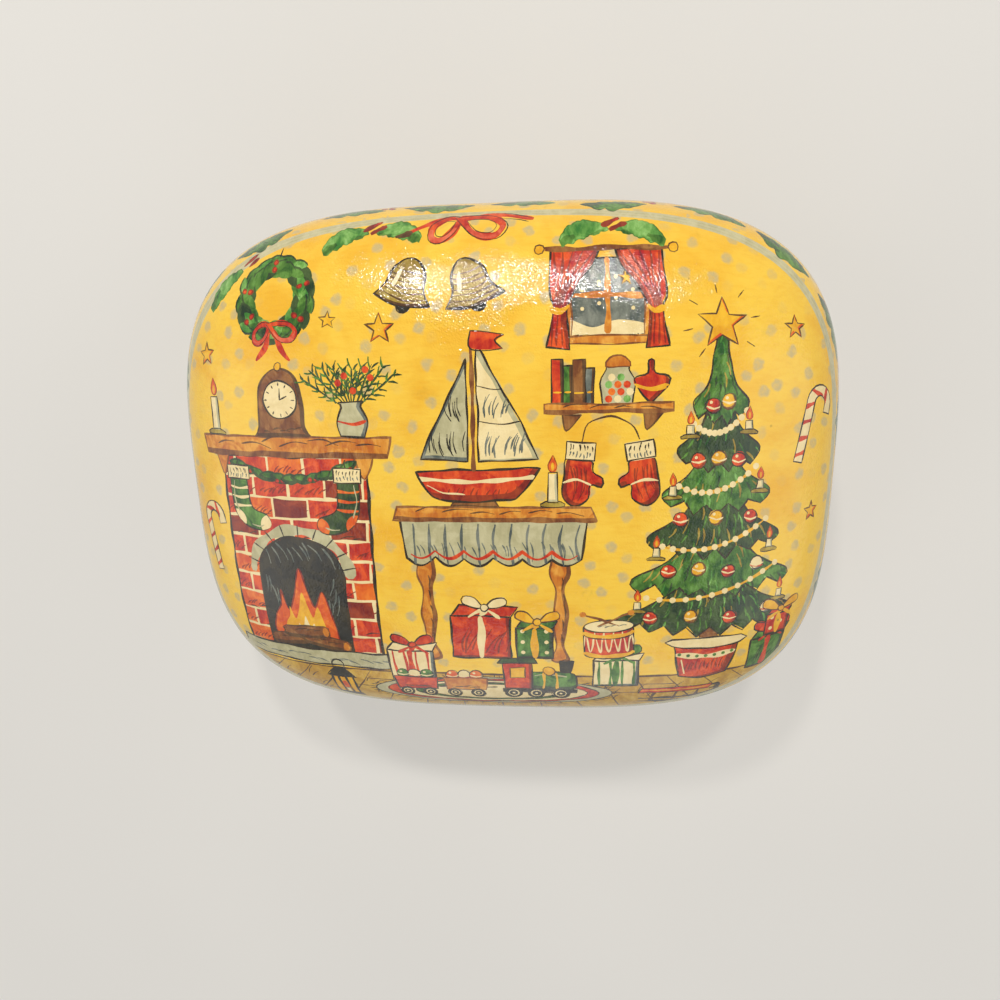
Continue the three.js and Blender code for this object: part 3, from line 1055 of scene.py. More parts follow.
def wall_shelf(p, x, y):
    """A shelf of books, a jar of sweets and a spinning top, on two brackets."""
    with p.at(x, y):
        for place in (-8, 8):
            bracket = soft((-1, -0.4), (-1, -0.4), (3, -0.4), (3, -0.4), (-0.2, -3.6)) + place
            p.area(bracket, "brown", 0.4)
        left = -11
        books = (2.2, 9, "red"), (1.8, 7.6, "leaf"), (2.4, 8.6, "brown"), (1.6, 7, "slate")
        for width, height, paint in books:
            p.area(box(left, 1.6, width, height), paint, 0.4, shade="umber", shift=(-0.5, 0))
            p.line((left + 0.3, 4), (left + width - 0.3, 4), paint="gold", width=0.5, ends=BLUNT)
            left += width + 0.1
        jar = turned((3, 1.6), (3, 1.6), (3.4, 5.6), (2.2, 8.2), (2.2, 9), (2.2, 9))
        p.area(jar + 2, "grey", 0.4)
        with p.within(jar + 2):
            for i in range(11):
                sweet = (0.2 + 1.8 * (i % 3) + 0.6 * (i // 3 % 2), 2.6 + 1.4 * (i // 3))
                p.dots([sweet], 0.75, ("red", "cream", "spring", "orange")[i % 4])
        p.area(turned((2.5, 9), (1.6, 10.6), (0, 11)) + 2, "wood", 0.4)
        top = turned((0, 1.6), (0, 1.6), (3.4, 5.4), (3, 6.8), (0.7, 7.6), (0.5, 10))
        p.area(top + 8.6, "red", 0.45, shade="crimson", shift=(-0.8, 0.4))
        with p.within(top + 8.6):
            p.line((5, 5.2), (8.6, 4.6), (12, 5.2), paint="gold", width=0.9, ends=BLUNT)
        p.area(box(-12.5, 0, 25.5, 1.7), "wood", 0.55, shade="brown", shift=(0, 0.6))
        p.hatch((-11, 1), (9, 1), 2, 5, 4, "umber", 0.3)


def window(p, x, y):
    """A night window between red curtains on a rod."""
    with p.at(x, y):
        p.area(box(-7.5, 0, 15, 15), "slate", 0.5)
        with p.within(box(-7.5, 0, 15, 15)):
            p.fill(soft((-8, -1), (-8, 3), (-3, 1.4), (2, 2.8), (8, 1.6), (8, -1)), "cream")
            p.dots([(-5 + 3.3 * (i % 4), 5 + 2.6 * (i // 4) + i % 3) for i in range(12)], 0.4, "cream")
            star(p, 3.6, 11, 1.6)
        for a, b in (((0, 0), (0, 15)), ((-7.5, 7.6), (7.5, 7.6))):
            p.line(a, b, paint="wood", width=1.2, ends=BLUNT)
        for bar in (box(-8.6, -0.6, 1.4, 16.4), box(7.2, -0.6, 1.4, 16.4), box(-9.6, -1.8, 19.2, 1.6)):
            p.area(bar, "wood", 0.4)
        for flip in (False, True):
            with p.at(flip=flip):
                drape = soft(
                    (1.6, 17), (1.6, 17), (11, 17), (11, 17), (11.4, 8), (10.6, 5), (12, -2.4),
                    (12, -2.4), (7.4, -2.8), (7.4, -2.8), (8, 4.6), (5.4, 10), (2.6, 14),
                )  # fmt: skip
                p.area(drape, "red", 0.5, shade="crimson", shift=(0.8, 0.2))
                with p.within(drape):
                    for k in range(5):
                        fold = (2.2 + 2.1 * k, 17), (8 + 0.5 * k, 8.6), (9 + 0.4 * k, 5)
                        p.line(*fold, paint="crimson", width=0.5)
                        p.line((8 + 0.9 * k, 4.4), (7.8 + 1.1 * k, -2), paint="crimson", width=0.4)
                p.line((7.6, 5.6), (9.2, 4.4), (11.4, 5.2), paint="gold", width=1.2)
        p.line((-13, 17.2), (13, 17.2), paint="brown", width=1.2, ends=BLUNT)
        for end in (-13.4, 13.4):
            p.area(arc(end, 17.2, 1.1), "gold", 0.35)


def candy_cane(p, x, y, turn):
    with p.at(x, y, turn=turn):
        hook = arc(2.8, 2, 2.8, start=180, end=0)
        line = np.concatenate([sharp((0, -11), (0, 2), closed=False)[:-1], hook, [5.6 + 0.4j]])
        ahead = np.gradient(line)
        side = 1.15j * ahead / np.abs(ahead)
        edge = np.concatenate([line + side, (line - side)[::-1]])
        p.fill(edge, "cream")
        with p.within(edge):
            for i in range(1, len(line) - 2, 4):
                a, b = line[i] + 1.6 * side[i], line[i + 2] - 1.6 * side[i]
                p.line((a.real, a.imag), (b.real, b.imag), paint="red", width=1.0, ends=BLUNT)
        p.stroke(edge, "ink", 0.35, closed=True)


def wreath(p, x, y, radius=7.2):
    with p.at(x, y):
        for ring, shift in ((radius - 1.4, 0), (radius + 1.5, 12), (radius, 6)):
            for i in range(17):
                turn = 360 / 17 * i + shift
                with p.at(turn=turn), p.at(ring, 0, turn=100 + p.random.uniform(-22, 22)):
                    outline = p.tremor(soft((-2.4, 0), (0, 1.2), (2.6, 0), (0, -1.2)), True)
                    p.fill(outline, p.random.choice(("leaf", "leaf", "spring", "pine")))
                    p.shade(outline, "pine", -0.2, 0.45)
        for turn in (20, 95, 165, 215, 325):
            with p.at(turn=turn):
                berries(p, radius, 0, 2, 0.75)
        for side in (-1, 1):
            tail = (0.6 * side, -radius), (1.8 * side, -radius - 3), (4 * side, -radius - 5.6)
            p.line(*tail, paint="red", width=1.2)
        ribbon_bow(p, -0.8, -radius + 1.6, 0.66, tails=False)
        p.line((0, radius + 2), (0.2, radius + 4.6), width=0.35)


def lantern(p, x, y, size=1.0):
    with p.at(x, y, size):
        p.area(box(-3.6, 1.6, 7.2, 9.4), "gold", 0.5)
        p.fill(arc(0, 6.4, 1.2, 2.4), "orange")
        p.area(box(-0.8, 1.6, 1.6, 3), "cream", 0.3)
        for bar in (-3.6, -1.3, 1.3, 3.6):
            p.line((bar, 1.4), (bar, 11.2), paint="charcoal", width=0.8, ends=BLUNT)
        p.area(turned((4.6, 0), (4, 1.6), line=sharp), "charcoal", 0.4)
        p.area(turned((5, 11), (5, 11), (2.4, 14.4), (1.2, 15.4)), "charcoal", 0.4)
        p.stroke(arc(0, 16.6, 2, 2.2, -30, 210), "charcoal", 0.6)


def sledge(p, x, y, size=1.0):
    with p.at(x, y, size):
        for lift in (0, 2.2):
            runner = ((-12, 0.6), (0, 0), (9, 0.4), (12.6, 3), (12, 6), (10, 5.4))
            p.line(*[(rx, ry + lift) for rx, ry in runner], width=1.5)
        for post in (-8, -1, 6):
            p.line((post, 0.8), (post + 0.5, 6.6), paint="umber", width=1.2, ends=BLUNT)
        p.area(sharp((-12.5, 6), (9.6, 6), (10.4, 8.4), (-11.6, 8.4)), "red", 0.5)
        p.line((-11.8, 7.4), (0, 7.1), (9.6, 7.4), paint="gold", width=0.5)


def floor_and_rug(p):
    """Floor boards, and an oval braided rug."""
    p.fill(p.tremor(sharp((-78, -43.4), (-78, -72), (78, -72), (78, -42.6)), True), "straw")
    p.line((-72, -43.4), (-20, -43), (20, -43.3), (72, -42.6), paint="umber", width=0.6)
    for k in range(-9, 10):
        p.line((7.6 * k, -43.4), (8.6 * k, -50), (9.8 * k, -58), paint="umber", width=0.35)
        joint = -46 - 3 * ((k * 7) % 4)
        p.line((8 * k, joint), (8 * k + 4, joint + 0.1), (8 * k + 8.4, joint), paint="umber", width=0.3)
        p.hatch((8 * k, -47), (8 * k + 4, -53), 52, 3.4, 4, "umber", 0.3, 1.2)
    for turn in range(0, 360, 8):
        c, s = math.cos(math.radians(turn)), math.sin(math.radians(turn))
        p.line((-2 + 28 * c, -49.4 + 5.4 * s), (-2 + 29.8 * c, -49.4 + 6.3 * s), width=0.3)
    for half, paint in ((28, "grey"), (25, "red"), (22.2, "cream"), (18, "leaf"), (15.4, "cream")):
        p.area(arc(-2, -49.4, half, half * 0.19), paint, 0.4)


def parlour(p):
    """All that stands, lies or hangs in the parlour."""
    floor_and_rug(p)
    fireplace(p)
    fir_tree(p, 46, -32)
    window(p, 23.6, 32)
    wall_shelf(p, 23.5, 16.9)
    mittens(p, 23.8, 11)
    table_with_boat(p)
    present(p, -10, -38, 13, 11, "red", "cream")
    present(p, 4.4, -38, 8, 8, "leaf", "gold", "dots")
    present(p, -25, -45.6, 10.4, 9, "cream", "red", "stripes")
    present(p, 56.6, -44, 9, 9, "leaf", "red")
    present(p, 59.6, -34.4, 6, 5.4, "red", "gold", "dots")
    present(p, 21.4, -46.5, 10, 8, "cream", "leaf", "stripes")
    drum(p, 24.6, -36.2, 0.76, 3)
    toy_train(p, 9, -51.5, 0.92)
    lantern(p, -38, -54.6, 0.75)
    sledge(p, 41.5, -54, 0.76)
    wreath(p, -45.5, 41)
    bell(p, -15.4, 48, -14)
    bell(p, -5, 47.6, 16)
    candy_cane(p, 66.2, 16, -12)
    candy_cane(p, -69.2, -10, 10)
    for x, y, size in ((-22, 34, 3.2), (-64, 30, 2.6), (62, 33, 2.6), (-33, 36, 1.8), (69, -6, 2.2)):
        star(p, x, y, size)


def lid_picture(skin):
    p = Painting(7)
    with p.within(skin.ring(skin.out_at(line_heights(LID_LOW.z + SHOULDER, 1)))):
        parlour(p)
    band(p, skin, LID_LOW.z + SHOULDER, 2.1, 1)
    sprig(p, -25.2, 55, 5)
    sprig(p, 25, 54, -2)
    ribbon_bow(p, -6.5, 57.6)
    leaf(p, -55.6, 48.4, 11.6, 228, 4.6, -0.1)
    berry_strokes(p, -53.6, 50, 40, 0.85)
    side_garland(p, skin, LID_LOW.z + 11.7, 0.6)
    return p


def tray_picture(skin):
    p = Painting(11)
    band(p, skin, TRAY_LINE, 2.0, 0.25)
    side_garland(p, skin, (TRAY_LINE + TRAY_HIGH.z) / 2, 0)
    p.shape([skin.ring(skin.out_at(FOOT_LINE))], "charcoal")
    return p


# Meshes


def cut_sheet(skin, painting):
    """The flat sheet cut into triangles along every painted edge, and each one's paint."""
    edge = skin.ring(skin.edge)
    reach_x, reach_y = np.abs(edge.real).max(), np.abs(edge.imag).max()
    x, y = np.meshgrid(np.arange(-reach_x, reach_x, GRID), np.arange(-reach_y, reach_y, GRID))
    x[::2] += GRID / 2
    grid = (x + 1j * y).ravel()
    rounding = MOUTH_EDGE * math.pi / 2 / MEAN_HALF
    steps = rounding * np.arange(1, EDGE_STEPS + 2) / EDGE_STEPS
    grid = grid[skin.outness(grid) < skin.edge - steps[-1] - GRID_MARGIN]
    rings = np.concatenate([skin.ring(skin.edge - step) for step in steps])
    points, edges = [edge, rings, grid], [(i, (i + 1) % AROUND) for i in range(AROUND)]
    used = len(edge) + len(rings) + len(grid)
    shapes = [
        ([skin.kept_in(loop) for loop in loops], name, limits)
        for loops, name, limits in painting.shapes
    ]
    for loops, _name, _limits in shapes:
        for loop in loops:
            count = len(loop)
            edges += [(used + i, used + (i + 1) % count) for i in range(count)]
            points.append(loop)
            used += count
    vectors = [Vector((z.real, z.imag)) for z in np.concatenate(points)]
    corners, _, faces, *_ = delaunay_2d_cdt(vectors, edges, [], 0, WELD)
    flat = np.array([complex(v.x, v.y) for v in corners])
    faces = np.array(faces)
    middle = flat[faces].mean(axis=1)
    return flat, faces, middle, paint_of(middle, shapes)


def paint_of(middle, shapes):
    """The number of the topmost paint at each triangle's middle, 0 on bare ground."""
    paint = np.zeros(len(middle), int)
    for loops, name, limits in shapes:
        everything = np.concatenate(loops)
        near = np.flatnonzero(
            (middle.real > everything.real.min())
            & (middle.real < everything.real.max())
            & (middle.imag > everything.imag.min())
            & (middle.imag < everything.imag.max())
        )
        x, y = middle[near].real, middle[near].imag
        hit = winding(loops, x, y)
        for limit in limits:
            hit &= winding([limit], x, y)
        paint[near[hit]] = PAINTS.index(name)
    return paint


def ring_points(rings):
    """Points of inner rings, AROUND to a ring, in millimetres."""
    unit = outline_unit(RING_TURN)
    return [
        np.stack([length * unit[0], width * unit[1], np.full(AROUND, height)], 1)
        for length, width, height in rings
    ]


def wall_faces(name, skin, flat, count):
    """Faces from the skin's edge over the rim and count inner rings to a last point."""
    turn = np.arctan2(flat.imag / HALF_WIDTH, flat.real / HALF_LENGTH)
    rim = np.flatnonzero(skin.outness(flat) > skin.edge - RIM_SLACK)
    rim = rim[np.argsort(turn[rim] % (2 * math.pi - TURN_SLACK))]
    if len(rim) != AROUND:
        raise RuntimeError(f"{name}: a painted shape crosses the mouth's edge")
    last = len(flat) + AROUND * count
    rows = [rim, *np.arange(len(flat), last).reshape(count, AROUND)]
    walls = []
    for row, after in zip(rows, rows[1:]):
        walls += list(zip(row, np.roll(row, -1), np.roll(after, -1), after))
    walls += [(a, b, last) for a, b in zip(rows[-1], np.roll(rows[-1], -1))]
    return [face[::-1] for face in walls] if skin.domed else walls


def faced_out(faces, points, outward):
    """The same triangles, wound so that each faces outward."""
    first = points[faces[:, 1]] - points[faces[:, 0]]
    second = points[faces[:, 2]] - points[faces[:, 0]]
    inward = (np.cross(first, second) * outward).sum(1) < 0
    return np.where(inward[:, None], faces[:, ::-1], faces)


def shell_mesh(name, skin, painting, inner_rings, paints):
    """A closed shell: the painted skin, then its rim and inside down to a point."""
    flat, faces, middle, paint = cut_sheet(skin, painting)
    outside = skin.laid(flat)
    faces = faced_out(faces, outside, skin.normals(middle))
    inside = ring_points(inner_rings[:-1])
    pole = np.array([[0, 0, inner_rings[-1][2]]])
    verts = np.concatenate([outside, *inside, pole])
    walls = wall_faces(name, skin, flat, len(inside))
    everything = [tuple(map(int, face)) for face in [*faces, *walls]]
    mesh = bpy.data.meshes.new(name)
    mesh.from_pydata((verts * MM).tolist(), [], everything)
    mesh.polygons.foreach_set("use_smooth", [True] * len(everything))
    mesh.polygons.foreach_set("material_index", [0] * len(faces) + [1] * len(walls))
    write_paint(mesh, paint, len(walls), paints)
    painted = flat[faces.ravel()]
    write_map(mesh, "OFBake", baking_map(mesh, skin, painted))
    write_map(mesh, "Sheet", sheet_map(mesh, skin, painted, middle))
    mesh.uv_layers.active = mesh.uv_layers["Sheet"]
    normals = np.zeros((len(mesh.loops), 3))
    normals[: faces.size] = skin.normals(flat)[faces.ravel()]
    mesh.normals_split_custom_set(normals.tolist())
    mesh.update()
    return mesh


def write_paint(mesh, paint, walls, paints):
    """Each face's colour, and how thin its wash is. Cover is 0 on bare ground."""
    table = np.array([[*getattr(paints, name), THINNESS[name]] for name in PAINTS])
    colours = np.concatenate([table[paint], np.tile([*paints.lacquer, 0.0], (walls, 1))])
    attribute = mesh.attributes.new("paint", "FLOAT_COLOR", "FACE")
    attribute.data.foreach_set("color", colours.ravel())
    cover = mesh.attributes.new("cover", "FLOAT", "FACE")
    cover.data.foreach_set("value", np.r_[(paint > 0).astype(float), np.zeros(walls)])


def write_map(mesh, name, places):
    layer = mesh.uv_layers.new(name=name)
    layer.data.foreach_set("uv", places.ravel())


# Places in the baking map, in shares of its side
BAKE_TALL = 0.79
BAKE_HALF = 0.496
BAKE_MARGIN = 0.003
BAKE_INSIDE = (0.13, 0.1)
BAKE_INSIDE_HALF = (0.12, 0.095)
BAKE_TAPER = 0.012  # for each millimetre from the mouth


def baking_map(mesh, skin, painted):
    """The painted skin laid flat, and small below it the rim and the inside."""
    count = len(painted)
    places = np.zeros((len(mesh.loops), 2))
    places[:count, 0] = 0.5 + painted.real / (skin.edge * HALF_LENGTH) * BAKE_HALF
    half = BAKE_TALL / 2 - BAKE_MARGIN
    places[:count, 1] = 1 - BAKE_TALL / 2 + painted.imag / (skin.edge * HALF_WIDTH) * half
    vertex = np.zeros(len(mesh.loops), int)
    mesh.loops.foreach_get("vertex_index", vertex)
    points = np.zeros(len(mesh.vertices) * 3)
    mesh.vertices.foreach_get("co", points)
    x, y, z = points.reshape(-1, 3)[vertex[count:]].T / MM
    depth = (z - TRAY_HIGH.z) if skin.domed else (TRAY_HIGH.z - z)
    shrink = np.clip(1 + BAKE_TAPER * depth, 0.5, 1.6)
    places[count:, 0] = BAKE_INSIDE[0] + x / HALF_LENGTH * BAKE_INSIDE_HALF[0] / shrink
    places[count:, 1] = BAKE_INSIDE[1] + y / HALF_WIDTH * BAKE_INSIDE_HALF[1] / shrink
    return places


def sheet_map(mesh, skin, painted, middle):
    """Millimetres on the flat sheet, or on the side those round it and out from the pole."""
    line = LID_LOW.z + SHOULDER if skin.domed else TRAY_LINE
    on_side = np.repeat(skin.outness(middle) > skin.out_at(line), 3)
    around = skin.round_side(painted)
    centre = np.repeat(skin.round_side(middle), 3)
    length = skin.along[-1]
    around += length * (around - centre < -length / 2) - length * (around - centre > length / 2)
    places = np.zeros((len(mesh.loops), 2))
    places[: len(painted), 0] = np.where(on_side, around, painted.real)
    places[: len(painted), 1] = np.where(on_side, skin.outness(painted) * MEAN_HALF, painted.imag)
    return places


def add_piece(name, mesh, node, body, materials):
    """Puts a piece into the scene in place of a construction node."""
    for material in materials:
        mesh.materials.append(material)
    piece = bpy.data.objects.new(name, mesh)
    bpy.context.scene.collection.objects.link(piece)
    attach(piece, body)
    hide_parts(node)


# Materials


def add(tree, kind, inputs=None, **settings):
    """A node with its settings. Inputs are values, or sockets to link."""
    node = tree.nodes.new(kind)
    for key, value in settings.items():
        setattr(node, key, value)
    for key, value in (inputs or {}).items():
        socket = node.inputs[key]
        if isinstance(value, bpy.types.NodeSocket):
            tree.links.new(value, socket)
        else:
            socket.default_value = value
    return node


def mix_colour(tree, share, first, second, blend="MIX"):
    node = add(tree, "ShaderNodeMix", {0: share, 6: first, 7: second}, data_type="RGBA", blend_type=blend)
    return node.outputs[2]


def sums(tree, operation, first, second=0.0, clamp=False):
    node = add(tree, "ShaderNodeMath", {0: first, 1: second}, operation=operation, use_clamp=clamp)
    return node.outputs[0]


def times(tree, first, second):
    return sums(tree, "MULTIPLY", first, second)


def plus(tree, first, second):
    return sums(tree, "ADD", first, second)


def vectors(tree, operation, inputs):
    return add(tree, "ShaderNodeVectorMath", inputs, operation=operation).outputs[0]


def ramp(tree, value, low, high, to_low=0.0, to_high=1.0):
    """A smooth step from low to high."""
    node = add(
        tree,
        "ShaderNodeMapRange",
        {"Value": value, "From Min": low, "From Max": high, "To Min": to_low, "To Max": to_high},
        interpolation_type="SMOOTHSTEP",
    )
    return node.outputs[0]


def noise(tree, place, scale, detail=2.0, rough=0.5, distort=0.0):
    node = add(
        tree,
        "ShaderNodeTexNoise",
        {"Vector": place, "Scale": scale, "Detail": detail, "Roughness": rough, "Distortion": distort},
    )
    return node.outputs["Fac"]


def group(name, inputs, outputs):
    """A node group, the sockets that it is given and those that it puts out."""
    tree = bpy.data.node_groups.new(name, "ShaderNodeTree")
    for label, kind, default in inputs:
        socket = tree.interface.new_socket(label, in_out="INPUT", socket_type=kind)
        socket.default_value = default
    for label, kind in outputs:
        tree.interface.new_socket(label, in_out="OUTPUT", socket_type=kind)
    given, out = tree.nodes.new("NodeGroupInput"), tree.nodes.new("NodeGroupOutput")
    return tree, given.outputs, out.inputs


COLOUR, NUMBER = "NodeSocketColor", "NodeSocketFloat"
VARNISH_LEVEL = 0.5  # of specular reflection, for a thick clear varnish
LACQUER_LEVEL = 0.3
LACQUER_CRINKLE = 0.3
LACQUER_SMOOTH = 0.35  # share of the varnish's waves that thin lacquer has
LACQUER_DULL = 0.22  # roughness over the varnish's
LACQUER_THINNESS = 0.05
LACQUER_WEAR = 0.62  # share of the paint's wear
LACQUER_WEAR_REACH = 0.9 * MM
PAINT_AGE, LACQUER_AGE = 0.8, 0.12  # how many specks and smears show


def object_place(tree):
    return add(tree, "ShaderNodeTexCoord").outputs["Object"]


def wash_group():
    """Thin paint, deeper where its layers pool and paler where the ground shows."""
    tree, given, out = group(
        "Brushed Wash",
        [
            ("Paint", COLOUR, (0.5, 0.1, 0.05, 1)),
            ("Thinness", NUMBER, 0.3),
            ("Ground", COLOUR, (0.9, 0.7, 0.3, 1)),
        ],
        [("Color", COLOUR)],
    )
    place = object_place(tree)
    stretched = add(tree, "ShaderNodeMapping", {"Vector": place, "Scale": (1.0, 0.3, 0.6)}).outputs[0]
    pools = ramp(tree, noise(tree, place, 240, 3, 0.6, 0.9), 0.4, 0.62)
    streaks = ramp(tree, noise(tree, stretched, 760, 4, 0.65, 0.3), 0.36, 0.62)
    thin = plus(tree, times(tree, pools, 0.62), times(tree, streaks, 0.38))
    thinness = given["Thinness"]
    swing = times(tree, thinness, sums(tree, "SUBTRACT", 0.85, times(tree, thin, 1.25)))
    layers = plus(tree, 1.0, swing)
    layered = add(tree, "ShaderNodeGamma", {"Color": given["Paint"], "Gamma": layers}).outputs[0]
    thick = times(tree, sums(tree, "SUBTRACT", 1.0, thin), thinness)
    dark = mix_colour(tree, times(tree, thick, 0.8), (1, 1, 1, 1), (0.25, 0.2, 0.2, 1))
    layered = mix_colour(tree, 1.0, layered, dark, "MULTIPLY")
    bare = times(tree, times(tree, thin, thinness), 0.2)
    tree.links.new(mix_colour(tree, bare, layered, given["Ground"]), out["Color"])
    return tree


def ground_group():
    """Yellow ground with ochre clouds and soft grey dabs in loose rows."""
    tree, given, out = group(
        "Dabbed Ground",
        [
            ("Ground", COLOUR, (0.9, 0.7, 0.2, 1)),
            ("Ochre", COLOUR, (0.8, 0.5, 0.1, 1)),
            ("Dab", COLOUR, (0.5, 0.5, 0.3, 1)),
            ("Spacing", NUMBER, 0.006),
        ],
        [("Color", COLOUR)],
    )
    place = object_place(tree)
    sheet = add(tree, "ShaderNodeUVMap", uv_map="Sheet").outputs[0]
    clouds = ramp(tree, noise(tree, place, 46, 4, 0.62, 0.3), 0.42, 0.68, 0.0, 0.75)
    base = mix_colour(tree, clouds, given["Ground"], given["Ochre"])
    brushed = add(tree, "ShaderNodeMapping", {"Vector": place, "Scale": (0.18, 1.0, 1.0)}).outputs[0]
    brushing = ramp(tree, noise(tree, brushed, 1300, 3, 0.6), 0.42, 0.7, 0.0, 0.5)
    darker = mix_colour(tree, 1.0, base, (0.95, 0.86, 0.6, 1), "MULTIPLY")
    base = mix_colour(tree, brushing, base, darker)
    scale = sums(tree, "DIVIDE", MM, given["Spacing"])
    slant = (0, 0, math.radians(38))
    slanted = add(tree, "ShaderNodeMapping", {"Vector": sheet, "Rotation": slant}).outputs[0]
    waver = add(tree, "ShaderNodeTexNoise", {"Vector": place, "Scale": 500.0, "Detail": 3.0})
    push = vectors(tree, "SUBTRACT", {0: waver.outputs["Color"], 1: (0.5, 0.5, 0.5)})
    push = vectors(tree, "SCALE", {0: push, "Scale": 1.6})
    spot = vectors(tree, "ADD", {0: slanted, 1: push})
    cells = add(
        tree,
        "ShaderNodeTexVoronoi",
        {"Vector": spot, "Scale": scale, "Randomness": 0.62},
        voronoi_dimensions="2D",
    )
    spots = ramp(tree, cells.outputs["Distance"], 0.13, 0.27, 1.0, 0.0)
    chance = add(tree, "ShaderNodeSeparateColor", {0: cells.outputs["Color"]}).outputs[0]
    faint = ramp(tree, chance, 0.1, 0.5, 0.12, 0.92)
    patchy = ramp(tree, noise(tree, place, 1100, 3), 0.3, 0.65, 0.65, 1.0)
    share = times(tree, times(tree, spots, faint), patchy)
    tree.links.new(mix_colour(tree, share, base, given["Dab"]), out["Color"])
    return tree


def age_group():
    """Brown specks and faint smears, as under old varnish."""
    tree, given, out = group(
        "Age Specks",
        [
            ("Color In", COLOUR, (0.8, 0.8, 0.8, 1)),
            ("Speck", COLOUR, (0.1, 0.05, 0.02, 1)),
            ("Amount", NUMBER, 1.0),
        ],
        [("Color", COLOUR)],
    )
    place = object_place(tree)
    cells = add(tree, "ShaderNodeTexVoronoi", {"Vector": place, "Scale": 170.0, "Randomness": 1.0})
    dot = ramp(tree, cells.outputs["Distance"], 0.035, 0.075, 1.0, 0.0)
    chosen = ramp(tree, noise(tree, place, 60, 3, 0.7), 0.56, 0.62)
    specks = times(tree, times(tree, dot, chosen), given["Amount"])
    smear = ramp(tree, noise(tree, place, 75, 6, 0.7, 0.8), 0.6, 0.76, 0.0, 0.22)
    smear = times(tree, smear, given["Amount"])
    smeared = mix_colour(tree, smear, given["Color In"], given["Speck"])
    share = times(tree, specks, 0.7)
    tree.links.new(mix_colour(tree, share, smeared, given["Speck"]), out["Color"])
    return tree


def varnish_group():
    """The surface of thick brushed varnish: slow waves, crinkle and dust."""
    tree, given, out = group(
        "Varnish Surface",
        [("Roughness", NUMBER, 0.15), ("Crinkle", NUMBER, 1.0)],
        [("Height", NUMBER), ("Roughness", NUMBER)],
    )
    place = object_place(tree)
    waves = noise(tree, place, 260, 2, 0.45)
    peel = noise(tree, place, 1100, 2, 0.5)
    grain = noise(tree, place, 2400, 1, 0.5)
    patches = ramp(tree, noise(tree, place, 90, 3), 0.34, 0.6, 0.35, 1.0)
    crinkle = times(tree, times(tree, grain, patches), given["Crinkle"])
    total = plus(tree, times(tree, waves, 0.7), times(tree, peel, 0.35))
    total = plus(tree, total, times(tree, crinkle, 1.1))
    tree.links.new(total, out["Height"])
    dull = ramp(tree, noise(tree, place, 700, 4, 0.6), 0.4, 0.75, 0.0, 0.07)
    tree.links.new(plus(tree, dull, given["Roughness"]), out["Roughness"])
    return tree


def wear_group():
    """1 where the paint has worn off along a mouth's edge."""
    tree, given, out = group(
        "Mouth Wear",
        [("Height", NUMBER, 0.034), ("Reach", NUMBER, 0.0012), ("Amount", NUMBER, 0.5)],
        [("Mask", NUMBER)],
    )
    place = object_place(tree)
    z = add(tree, "ShaderNodeSeparateXYZ", {0: place}).outputs["Z"]
    away = sums(tree, "ABSOLUTE", sums(tree, "SUBTRACT", z, given["Height"]))
    near = sums(tree, "SUBTRACT", 1.0, sums(tree, "DIVIDE", away, given["Reach"]), clamp=True)
    chips = noise(tree, place, 420, 4, 0.65)
    level = plus(tree, chips, times(tree, near, given["Amount"]))
    worn = ramp(tree, level, 0.86, 0.93)
    tree.links.new(times(tree, worn, near), out["Mask"])
    return tree


def effects():
    """The shared node groups, built once."""
    makers = {
        "Brushed Wash": wash_group,
        "Dabbed Ground": ground_group,
        "Age Specks": age_group,
        "Varnish Surface": varnish_group,
        "Mouth Wear": wear_group,
    }
    return {name: bpy.data.node_groups.get(name) or make() for name, make in makers.items()}


def use(tree, effect, inputs):
    """A shared node group, placed in a material."""
    return add(tree, "ShaderNodeGroup", inputs, node_tree=effects()[effect])


def rgba(colour):
    return (*colour, 1.0)


def new_material(name):
    """An empty node material, its tree and its Principled shader."""
    material = bpy.data.materials.new(name)
    material.use_nodes = True
    tree = material.node_tree
    return material, tree, tree.nodes["Principled BSDF"]


def varnished(tree, shader, crinkle, roughness, depth, level):
    """Gives a shader a varnish's or a lacquer's gloss and uneven surface."""
    varnish = use(tree, "Varnish Surface", {"Roughness": roughness, "Crinkle": crinkle})
    bump = add(
        tree,
        "ShaderNodeBump",
        {"Height": varnish.outputs["Height"], "Distance": depth, "Strength": 1.0},
    )
    shader.inputs["Specular IOR Level"].default_value = level
    tree.links.new(varnish.outputs["Roughness"], shader.inputs["Roughness"])
    tree.links.new(bump.outputs[0], shader.inputs["Normal"])


def painted_material(name, paints, finish, mouth):
    material, tree, shader = new_material(name)
    paint = add(tree, "ShaderNodeAttribute", attribute_type="GEOMETRY", attribute_name="paint")
    cover = add(tree, "ShaderNodeAttribute", attribute_type="GEOMETRY", attribute_name="cover")
    ground = use(
        tree,
        "Dabbed Ground",
        {
            "Ground": rgba(paints.ground),
            "Ochre": rgba(paints.ochre),
            "Dab": rgba(paints.dab),
            "Spacing": finish.dab_spacing,
        },
    )
    wash = use(
        tree,
        "Brushed Wash",
        {"Paint": paint.outputs["Color"], "Thinness": paint.outputs["Alpha"], "Ground": rgba(paints.ground)},
    )
    colour = mix_colour(tree, cover.outputs["Fac"], ground.outputs[0], wash.outputs[0])
    aged = use(tree, "Age Specks", {"Color In": colour, "Speck": rgba(paints.umber), "Amount": PAINT_AGE})
    worn = use(tree, "Mouth Wear", {"Height": mouth * MM, "Amount": finish.wear})
    colour = mix_colour(tree, worn.outputs[0], aged.outputs[0], rgba(paints.board))
    tree.links.new(colour, shader.inputs["Base Color"])
    varnished(tree, shader, 1.0, finish.varnish_roughness, finish.orange_peel, VARNISH_LEVEL)
    return material


